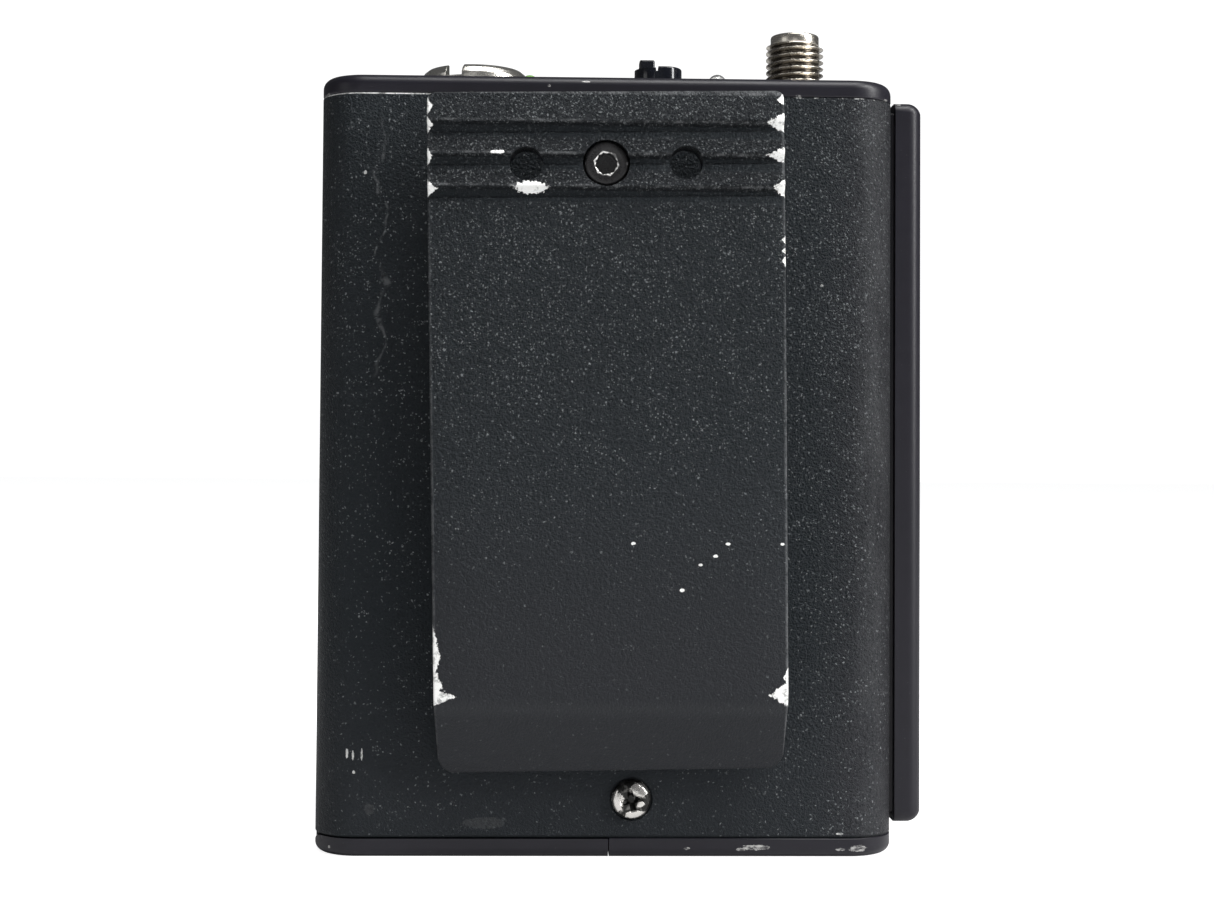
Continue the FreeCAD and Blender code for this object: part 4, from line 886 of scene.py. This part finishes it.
def make_clip():
    """One bent piece, lofted across its width, drilled and leant, with extra points along the line where it
    flexes and its rest position kept in an attribute.
    """
    outline = clip_profile()
    count = len(outline)
    inward = []
    for i in range(count):
        along = Vector(outline[(i + 1) % count]) - Vector(outline[i - 1])
        inward.append(Vector((-along.y, along.x)).normalized())
    area = sum(outline[i - 1][0] * outline[i][1] - outline[i][0] * outline[i - 1][1] for i in range(count))
    if area < 0:
        inward = [-v for v in inward]
    rings = []

    def ring(side, inset_x, inset):
        points = []
        for (y, z), n in zip(outline, inward):
            points.append((CLIP_X + side * (clip_half_width(z) - inset_x), y + n.x * inset, z + n.y * inset))
        return points

    def hole(radius, depth, n, x=CLIP_X):
        return at(rod("hole", radius, -depth, 5, n), x, CLIP_FACE, CLIP_SCREW_Z, "-y")

    edge = [(drop, inset) for inset, drop in quarter(CLIP_EDGE_R, 4)]
    rings += [ring(-1, inset_x, inset) for inset_x, inset in reversed(edge)]
    for i in range(-3, 4):
        rings.append([(CLIP_X + i / 4 * (clip_half_width(z) - CLIP_EDGE_R), y, z) for y, z in outline])
    rings += [ring(1, inset_x, inset) for inset_x, inset in edge]
    clip = loft("belt_clip", rings)
    holes = [hole(CLIP_HOLE_R, 5, 48, CLIP_X + side * CLIP_HOLE_X) for side in (-1, 1)]
    combine(clip, holes + [hole(CLIP_BORE_R, CLIP_BORE_DEPTH, 56)])
    combine(clip, [hole(CLIP_SCREW_HOLE_R, 5, 40)])
    bevel(clip, 0.14, 3, 50)
    pivot = Matrix.Translation(Vector((CLIP_X, 0, CLIP_SCREW_Z)) * MM)
    turned(clip, pivot @ Matrix.Rotation(CLIP_LEAN, 4, "Y") @ pivot.inverted())
    dress(clip, None, "clip_coat", ("clip_head", "clip_leaf"), 42, weighted=False)
    rest = clip.data.attributes.new("rest", "FLOAT_VECTOR", "POINT")
    rest.data.foreach_set("vector", [c for v in clip.data.vertices for c in v.co])
    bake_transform(clip)


make_clip()


# ---------------------------------------------------------------- end plates
def countersink(depth):
    """Cutter for a flat-head screw: Z = 0 is the face of the plate."""
    head = 1.93
    shank = 1.01
    return lathe("sink", [(shank, -depth), (shank, -1), (head, 0), (head, BEYOND)], 48)


def make_top_plate():
    top = quarter(TOP_ROUND, 10)
    levels = [(EDGE_BREAK, SEAM_TOP), (0, SEAM_TOP + EDGE_BREAK)]
    levels += [(inset, TOTAL_H - drop) for inset, drop in top]
    plate = slab("top_plate", -HALF_W, -HALF_D, HALF_W, HALF_D, CORNER_R, levels, 18)
    deep = -TOTAL_H + SEAM_TOP - BEYOND
    gain_hole = [(GAIN_HOLE_R, deep), (GAIN_HOLE_R, -0.5), (GAIN_SINK_R, 0.02), (GAIN_SINK_R, BEYOND)]
    cutters = [at(rod("hole", JACK_HOLE_R, deep, BEYOND, 72), JACK_X, 0, TOTAL_H),
               at(rod("hole", SMA_HOLE_R, deep, BEYOND, 64), SMA_X, 0, TOTAL_H),
               at(lathe("hole", gain_hole, 48), GAIN_X, 0, TOTAL_H)]
    for x in (POWER_LED_X, AUDIO_LED_X):
        cutters.append(at(rod("hole", LED_HOLE_R, deep, BEYOND, 40), x, LED_Y, TOTAL_H))
    cutters.append(block("hole", SWITCH_WINDOW_X[0], -SWITCH_WINDOW_HALF_Y, SEAM_TOP - BEYOND,
                         SWITCH_WINDOW_X[1], SWITCH_WINDOW_HALF_Y, TOTAL_H + BEYOND))
    cutters += [at(countersink(4), x, y, TOTAL_H) for x, y in CORNERS]
    combine(plate, [merge("holes", cutters)])
    bevel(plate, 0.07, 2, 40)
    return dress(plate, "root", "plate_anodised", ("top_panel",))


def base_blank(name, thickness, chamfer):
    """The whole outline of the bottom, rounded below; the plate and the door are cut from it."""
    levels = [(inset, drop) for inset, drop in reversed(quarter(BASE_ROUND, 8))]
    levels += [(0, thickness - chamfer), (chamfer, thickness)] if chamfer else [(0, thickness)]
    return slab(name, -HALF_W, -HALF_D, HALF_W, HALF_D, CORNER_R, levels, 18)


def make_base_plate():
    plate = base_blank("base_plate", BASE_HI.z, EDGE_BREAK)
    cutters = [block("cut", -HALF_W - BEYOND, -HALF_D - BEYOND, -BEYOND,
                     BASE_LO.x - SEAM_TRIM, HALF_D + BEYOND, BASE_HI.z + BEYOND)]
    cutters += [at(countersink(4), x, y, 0, "-z") for x, y in BASE_SCREWS]
    combine(plate, [merge("cuts", cutters)])
    bevel(plate, 0.08, 2, 40)
    return dress(plate, "root", "plate_anodised", ("bottom_plate",))


def make_door():
    """Left half of the bottom: knuckle and ear slots, three finger grooves, tongue for the catch."""
    thick = 2 * HINGE_R
    side = HALF_D + BEYOND
    door = base_blank("door_plate", thick, 0)
    swing = block("swing", HINGE_X, -side, -BEYOND, DOOR_HI.x + SEAM_TRIM, side, thick + BEYOND)
    knuckle = at(rod("knuckle", HINGE_R, -side, side, 48), HINGE_X, 0, HINGE_Z, "y")
    combine(swing, [knuckle], "UNION")
    combine(door, [swing], "INTERSECT")
    cuts = []
    for ear_y in (-EAR_Y, EAR_Y):
        cuts.append(block("ear", -HALF_W - BEYOND, ear_y - EAR_CUT_HALF, -BEYOND,
                          HINGE_X + HINGE_R + EAR_CLEAR, ear_y + EAR_CUT_HALF, thick + BEYOND))
    for i in range(3):
        x = DOOR_HI.x - RIB_START - RIB_PITCH * i
        cuts.append(block("rib", x - RIB_HALF, -RIB_HALF_Y, -BEYOND, x + RIB_HALF, RIB_HALF_Y, RIB_DEPTH))
    combine(door, [merge("cuts", cuts)])
    combine(door, [at(rod("bore", PIN_BORE_R, -side, side, 32), HINGE_X, 0, HINGE_Z, "y")])
    combine(door, [block("tongue", -2.2, -2.5, thick - 0.2, -1.3, 2.5, DOOR_HI.z)], "UNION")
    bevel(door, 0.08, 2, 40)
    return dress(door, "door", "plate_anodised", ("battery_door",))


def make_control_plate():
    """Side panel: foot, gap, body and rounded outer edge, lofted outwards along +X."""
    gap_x = PANEL_LO.x + PANEL_GAP
    steps = [(PANEL_FOOT_INSET, PANEL_LO.x), (PANEL_FOOT_INSET, gap_x), (0.0, gap_x)]
    steps += [(inset, PANEL_HI.x - drop) for inset, drop in quarter(PANEL_ROUND, 10)]
    rings = []
    for inset, x in steps:
        outline = rounded_rect(PANEL_LO.y + inset, PANEL_LO.z + inset, PANEL_HI.y - inset, PANEL_HI.z - inset,
                               max(PANEL_CORNER_R - inset, 0.12), 6)
        rings.append([(x, y, z) for y, z in outline])
    plate = loft("control_plate", rings)
    sink_r = SELECTOR_HOLE_R + 0.55
    hole = [(SELECTOR_HOLE_R, -6), (SELECTOR_HOLE_R, -0.5), (sink_r, 0.05), (sink_r, BEYOND)]
    cutters = [at(lathe("hole", hole, 64), PANEL_HI.x, 0, z, "x") for z in SELECTOR_Z.values()]
    cutters += [at(countersink(6), PANEL_HI.x, 0, z, "x") for z in SIDE_SCREW_Z]
    combine(plate, [merge("cuts", cutters)])
    bevel(plate, 0.06, 2, 40)
    return dress(plate, "root", "plate_anodised", ("side_panel",))


make_top_plate()
make_base_plate()
make_door()
make_control_plate()


# -------------------------------------------------------------------- screws
def cross_recess(wide, long, depth, turn):
    """Two tapered blades of a cross-head recess, whose mouth is at Z = 0."""
    tools = []
    for angle in (turn, turn + 90):
        rings = []
        for scale_w, scale_l, z in ((0.62, 0.30, -depth), (1.0, 1.0, 0.0), (1.02, 1.04, 0.3)):
            half_w = wide * scale_w / 2
            half_l = long * scale_l / 2
            rings.append([(-half_l, -half_w, z), (half_l, -half_w, z),
                          (half_l, half_w, z), (-half_l, half_w, z)])
        tools.append(turned(loft("blade", rings), Matrix.Rotation(math.radians(angle), 4, "Z")))
    return tools


def flat_screw(length, turn):
    profile = [(0.7, -length), (0.96, -length + 0.3), (0.98, -1.02), (1.86, -0.1), (1.88, -0.04), (1.84, 0.0)]
    screw = lathe("screw", profile, 48)
    combine(screw, cross_recess(0.5, 2.3, 0.75, turn))
    return screw


def screw_set(name, places, length, up, node):
    """Identical screws in one piece, each turned to a different angle."""
    parts = []
    for i, (x, y, z) in enumerate(places):
        parts.append(at(flat_screw(length, 17 + 31 * i), x, y, z, up))
    group = merge(name, parts)
    bevel(group, 0.04, 2, 40)
    return dress(group, "root", "black_oxide_steel", (node,))


def make_rear_screw():
    axis_r = 0.5
    head = fillet([(axis_r, 0.0, 0), (axis_r, PAN_HEAD_H, 0), (1.15, 1.22, 1.5), (1.85, 0.95, 0.5),
                   (2.0, 0.35, 0.4), (2.0, 0.0, 0.05)], 5)
    head = [p for p in head if p[0] > axis_r + 0.01]
    head.sort(key=lambda p: -math.atan2(p[0] - 0.4, p[1] + 0.2))
    profile = [(0.96, -5.3), (0.98, -0.02)] + head + [(axis_r, PAN_HEAD_H)]
    screw = lathe("rear_pan_screw", profile, 64)
    combine(screw, [at(tool, 0, 0, PAN_HEAD_H) for tool in cross_recess(0.62, 2.5, 0.95, 12)])
    bevel(screw, 0.07, 3, 40)
    low, high = mm_box("rear_screw")
    at(screw, (low.x + high.x) / 2, low.y + PAN_HEAD_H, (low.z + high.z) / 2, "-y")
    return dress(screw, "root", "bright_steel", ("rear_screw",))


def make_clip_bolt():
    """Socket-head bolt: Z = 0 is the underside of its head."""
    low, high = mm_box("clip_screw")
    top = BOLT_HEAD_H
    end = top - (high.y - low.y)
    profile = [(1.1, end), (1.24, end + 0.2), (1.24, 0), (BOLT_HEAD_R, 0)]
    profile += [(BOLT_HEAD_R - inset, top - drop) for inset, drop in quarter(0.32, 6)]
    profile += [(1.42, top), (1.36, top - 0.02)]
    bolt = lathe("clip_bolt", profile, 72)
    corner = HEX_ACROSS / math.sqrt(3)
    turns = [math.radians(60 * i + HEX_PHASE) for i in range(6)]
    hexes = []
    for scale, z in ((0.98, top - 1.1), (1.0, top - 0.12), (1.16, top + 0.03)):
        hexes.append([(corner * scale * math.cos(a), corner * scale * math.sin(a), z) for a in turns])
    combine(bolt, [loft("hex", hexes)])
    bevel(bolt, 0.05, 2, 35)
    at(bolt, (low.x + high.x) / 2, low.y + top, (low.z + high.z) / 2, "-y")
    return dress(bolt, "root", "black_oxide_steel", ("clip_screw",), 30)


screw_set("top_plate_screws", [(x, y, TOTAL_H) for x, y in CORNERS], 7.0, "z", "top_screws")
screw_set("base_plate_screws", [(x, y, 0) for x, y in BASE_SCREWS], 6.0, "-z", "bottom_screws")
screw_set("control_plate_screws", [(PANEL_HI.x, 0, z) for z in SIDE_SCREW_Z], 6.0, "x", "side_screws")
make_rear_screw()
make_clip_bolt()


# ------------------------------------------------------------ antenna socket
def make_sma():
    """Nickel body with a real right-hand helical thread."""
    low, high = mm_box("sma_shell")
    angles = [2 * math.pi * j / 96 for j in range(96)]
    rows = 124
    thread0 = TOTAL_H + 0.75
    thread1 = high.z - 0.95
    rings = []

    def plain(r, z):
        rings.append([(r * math.cos(a), r * math.sin(a), z) for a in angles])

    plain(SMA_BORE_R, low.z)
    plain(SMA_R - 0.15, low.z)
    plain(SMA_R, low.z + 0.15)
    plain(SMA_R, TOTAL_H + 0.02)
    plain(SMA_NECK_R + 0.05, TOTAL_H + 0.10)
    plain(SMA_NECK_R, TOTAL_H + 0.20)
    plain(SMA_NECK_R, thread0 - 0.12)
    for i in range(rows + 1):
        z = thread0 + (thread1 - thread0) * i / rows
        ease = min(1.0, (z - thread0) / 0.28, (thread1 - z) / 0.22 + 0.05)
        points = []
        for a in angles:
            phase = (z / THREAD_PITCH - a / (2 * math.pi)) % 1.0
            wave = 1 - abs(2 * phase - 1)
            wave = min(max((wave - 0.12) / 0.78, 0.0), 1.0)
            r = SMA_ROOT_R + (SMA_R - SMA_ROOT_R) * wave * max(ease, 0.0)
            points.append((r * math.cos(a), r * math.sin(a), z))
        rings.append(points)
    plain(SMA_LEAD_R, thread1 + 0.08)
    plain(SMA_LEAD_R, high.z - 0.18)
    plain(SMA_LEAD_R - 0.06, high.z - 0.05)
    plain(SMA_LEAD_R - 0.15, high.z)
    plain(SMA_BORE_R + 0.08, high.z)
    plain(SMA_BORE_R, high.z - 0.08)
    body = loft("antenna_thread", rings, closed=True)
    at(body, SMA_X, 0, 0)
    return dress(body, "root", "nickel", ("sma_shell",), 50, weighted=False)


make_sma()


# ---------------------------------------------------------- microphone input
def make_input_ring():
    """Ring nut with rounded shoulders and one slot right across it."""
    low, high = mm_box("jack_nut")
    height = high.z - low.z
    inner = JACK_HOLE_R - 0.01
    outer = (high.x - low.x) / 2
    profile = fillet([(inner, 0, 0.08), (outer, 0, 0.08), (outer, height - 0.85, 0.2),
                      (outer - 0.26, height - 0.36, 0.4), (outer - 0.70, height, 0.10),
                      (inner + 0.05, height, 0.12)], 4)
    ring = lathe("input_ring_nut", profile, 120, closed=True)
    slot = block("slot", -JACK_SLOT_HALF, -8, height - JACK_SLOT_DEPTH, JACK_SLOT_HALF, 8, height + BEYOND)
    turned(slot, Matrix.Rotation(math.radians(JACK_SLOT_DEG), 4, "Z"))
    combine(ring, [slot])
    bevel(ring, 0.08, 3, 40)
    at(ring, JACK_X, 0, low.z)
    return dress(ring, "root", "nickel", ("jack_nut",))


def make_input_barrel():
    """Hollow barrel with a flange under the top plate and a key inside."""
    low, high = mm_box("jack_shell")
    top = high.z
    bore = 3.9
    barrel_r = 4.7
    flange_r = 5.56
    flange_z = (SEAM_TOP - 1.3, SEAM_TOP)
    floor_z = 71.0
    profile = fillet([(bore, low.z, 0.1), (barrel_r, low.z, 0.1), (barrel_r, flange_z[0], 0),
                      (flange_r, flange_z[0], 0.1), (flange_r, flange_z[1], 0.1), (barrel_r, flange_z[1], 0),
                      (barrel_r, top, 0.15), (bore + 0.15, top, 0.05), (bore, top - 0.25, 0.05),
                      (bore, floor_z, 0)], 3)
    barrel = lathe("input_barrel", profile, 96, closed=True)
    combine(barrel, [block("key", -0.5, 3.4, floor_z - 2, 0.5, 4.1, top - 0.5)], "UNION")
    bevel(barrel, 0.05, 2, 50)
    at(barrel, JACK_X, 0, 0)
    return dress(barrel, "root", "nickel", ("jack_shell",))


make_input_ring()
make_input_barrel()


# -------------------------------------------------------------- power switch
def make_switch_housing():
    """Black guard split by a wedge-shaped seam, lower on its left, with a channel for the knob."""
    low, high = mm_box("switch_guard")
    outline_r = (high.y - low.y) / 2 - 0.1
    levels = [(0.0, low.z)] + [(inset, high.z - drop) for inset, drop in quarter(0.2, 5)]
    guard = slab("switch_housing", low.x, low.y, high.x, high.y, outline_r, levels, 20)
    seam_x = SWITCH_X - 0.25
    side = 3
    slack = 0.03
    wedge = loft("wedge", [[(seam_x - 0.06, y, high.z - 0.55), (seam_x + 0.10, y, high.z - 0.55),
                            (seam_x + 0.24, y, high.z + 0.3), (seam_x - 0.14, y, high.z + 0.3)]
                           for y in (-side, side)])
    sill = block("sill", low.x - BEYOND, -side, high.z - 0.2, seam_x - 0.1, side, high.z + BEYOND)
    channel = block("channel", SWITCH_WINDOW_X[0] - slack, -SWITCH_WINDOW_HALF_Y - slack, low.z - BEYOND,
                    SWITCH_WINDOW_X[1] + slack, SWITCH_WINDOW_HALF_Y + slack, high.z + BEYOND)
    for cutter in (wedge, sill, channel):
        combine(guard, [cutter])
    bevel(guard, 0.09, 3, 40)
    return dress(guard, "root", "switch_plastic", ("switch_guard",))


def make_switch_knob():
    low, high = mm_box("switch_slider")
    levels = [(0.0, low.z)] + [(inset, high.z - drop) for inset, drop in quarter(0.22, 5)]
    knob = slab("switch_knob", low.x, low.y, high.x, high.y, 0.25, levels, 6)
    grip_half = 0.07
    grips = []
    for i in (1, 2, 3):
        x = low.x + (high.x - low.x) * i / 4
        grips.append(block("grip", x - grip_half, -0.7, high.z - grip_half,
                           x + grip_half, 0.7, high.z + BEYOND))
    combine(knob, [merge("grips", grips)])
    bevel(knob, 0.05, 2, 40)
    return dress(knob, "power_slider", "switch_plastic", ("switch_slider",))


make_switch_housing()
make_switch_knob()


# ------------------------------------------------------------ indicator lamps
def make_lamp(name, node, slot):
    """Flanged lamp with a domed top."""
    low, high = mm_box(node)
    turns = [math.radians(a) for a in range(0, 86, 7)]
    dome = [(LED_R * math.cos(a), high.z - LED_R + LED_R * math.sin(a)) for a in turns]
    profile = [(LED_R + 0.36, low.z), (LED_R + 0.4, low.z + 0.05), (LED_R + 0.4, low.z + 0.55),
               (LED_R + 0.36, low.z + 0.6), (LED_R, low.z + 0.62)] + dome + [(0.05, high.z)]
    lamp = at(lathe(name, profile, 56), (low.x + high.x) / 2, LED_Y, 0)
    return dress(lamp, "root", slot, (node,), 40)


make_lamp("power_lamp", "power_led", "clear_lens")
make_lamp("audio_lamp", "audio_led", "green_lens")


# ------------------------------------------------------------ turned controls
def make_dial(which, z):
    """Selector rotor whose end carries a screwdriver slot with an arrow head."""
    node = "selector_rotor_" + which
    low, high = mm_box(node)
    length = high.x - low.x
    radius = (high.y - low.y) / 2
    profile = [(radius - 0.05, 0), (radius, 0.05)] + [(radius - i, length - d) for i, d in quarter(0.2, 4)]
    dial = lathe(which + "_dial", profile, 80)
    levels = (length - 0.7, length + BEYOND)
    slot = block("slot", -0.35, -2.0, levels[0], 0.35, 1.5, levels[1])
    head = loft("head", [[(-1.0, 1.0, h), (1.0, 1.0, h), (0.0, 2.2, h)] for h in levels])
    combine(dial, [slot])
    combine(dial, [head])
    bevel(dial, 0.06, 2, 40)
    face_out = Matrix(((0, 0, 1), (-1, 0, 0), (0, 1, 0))).to_4x4()
    turned(dial, Matrix.Translation(Vector((low.x, 0, z)) * MM) @ face_out)
    return dress(dial, which + "_selector", "control_rotor", (node,))


def make_gain_shaft():
    low, high = mm_box("gain_shaft")
    radius = (high.x - low.x) / 2
    height = high.z - low.z
    profile = [(radius, 0)] + [(radius - i, height - d) for i, d in quarter(0.18, 4)]
    shaft = lathe("gain_screw", profile, 56)
    combine(shaft, [block("slot", -0.25, -1.2, height - 0.7, 0.25, 2.6, height + BEYOND)])
    bevel(shaft, 0.05, 2, 40)
    at(shaft, GAIN_X, 0, low.z)
    return dress(shaft, "gain_control", "control_rotor", ("gain_shaft",))


for which, z in SELECTOR_Z.items():
    make_dial(which, z)
make_gain_shaft()


# -------------------------------------------------------- floor and lighting
FLOOR_HALF = 3000
FLOOR_GLOW = 0.90
SKY_SEEN = 1.1
SKY_LIGHT = 0.10


def make_floor():
    """Pale matt floor that the camera sees near white while it bounces less light."""
    s = Shader("pale_floor")
    color = s.mix(s.noise(0.02, 3, 0.5), grey(0.80), grey(0.84))
    seen = s.add("ShaderNodeLightPath", {}).outputs["Is Camera Ray"]
    material = s.finish(color=color, rough=0.7, normal=s.bump(s.noise(0.8, 2), 0.01), spec=0.1,
                        glow=(1, 1, 1, 1), glow_power=s.times(seen, FLOOR_GLOW))
    turns = ((-1, -1), (1, -1), (1, 1), (-1, 1))
    floor = build("floor", [(x * FLOOR_HALF, y * FLOOR_HALF, 0) for x, y in turns], [(0, 1, 2, 3)])
    floor.data.materials.append(material)


def area_light(name, place, target, width, height, power):
    """A rectangular light; its place, target and size are in metres."""
    data = bpy.data.lights.new(name, "AREA")
    data.shape = "RECTANGLE"
    data.size = width
    data.size_y = height
    data.energy = power
    lamp = bpy.data.objects.new(name, data)
    bpy.context.scene.collection.objects.link(lamp)
    lamp.location = place
    lamp.rotation_mode = "QUATERNION"
    lamp.rotation_quaternion = (Vector(target) - Vector(place)).to_track_quat("-Z", "Y")


def make_world():
    """A sky that is white to the camera and a dim, slightly cool light for everything else."""
    world = bpy.data.worlds.new("studio")
    bpy.context.scene.world = world
    world.use_nodes = True
    tree = world.node_tree
    tree.nodes.clear()
    choose = tree.nodes.new("ShaderNodeMixShader")
    for slot, color, strength in ((1, (0.95, 0.97, 1.0, 1), SKY_LIGHT), (2, grey(1.0), SKY_SEEN)):
        sky = tree.nodes.new("ShaderNodeBackground")
        sky.inputs[0].default_value = color
        sky.inputs[1].default_value = strength
        tree.links.new(sky.outputs[0], choose.inputs[slot])
    path = tree.nodes.new("ShaderNodeLightPath")
    out = tree.nodes.new("ShaderNodeOutputWorld")
    tree.links.new(path.outputs["Is Camera Ray"], choose.inputs[0])
    tree.links.new(choose.outputs[0], out.inputs[0])


make_floor()
AIM = (0.0, 0.0, 0.04)
area_light("overhead", (0.10, -0.20, 0.80), AIM, 0.45, 0.35, 4.2)
area_light("key", (0.50, -0.50, 0.72), AIM, 0.26, 0.22, 1.9)
area_light("right_edge", (0.72, -0.34, 0.48), (0.03, 0.0, 0.06), 0.14, 0.9, 8.5)
area_light("left_fill", (-0.75, -0.5, 0.22), AIM, 0.35, 0.35, 0.45)
area_light("front_card", (-0.12, -1.0, 0.10), AIM, 0.35, 0.3, 0.35)
make_world()
bpy.context.scene.view_settings.view_transform = "Standard"


# -------------------------------------------------------------------- camera
def make_camera():
    """The viewing angle: a little left of the middle, about half way up, nearly level."""
    yaw = math.radians(CAMERA_YAW)
    pitch = math.radians(CAMERA_PITCH)
    roll = math.radians(CAMERA_ROLL)
    ahead = Vector((math.sin(yaw) * math.cos(pitch), math.cos(yaw) * math.cos(pitch), math.sin(pitch)))
    right = Vector((math.cos(yaw), -math.sin(yaw), 0))
    up = right.cross(ahead)
    tilted = right * math.cos(roll) + up * math.sin(roll)
    upright = up * math.cos(roll) - right * math.sin(roll)
    data = bpy.data.cameras.new("camera")
    data.sensor_fit = "HORIZONTAL"
    data.sensor_width = 36.0
    data.lens = CAMERA_LENS
    data.shift_y = CAMERA_SHIFT_Y
    data.clip_start = 0.01
    data.clip_end = 20.0
    camera = bpy.data.objects.new("camera", data)
    bpy.context.scene.collection.objects.link(camera)
    basis = Matrix((tilted, upright, -ahead)).transposed()
    camera.matrix_world = Matrix.Translation(Vector(CAMERA_PLACE) * MM) @ basis.to_4x4()
    bpy.context.scene.camera = camera


make_camera()
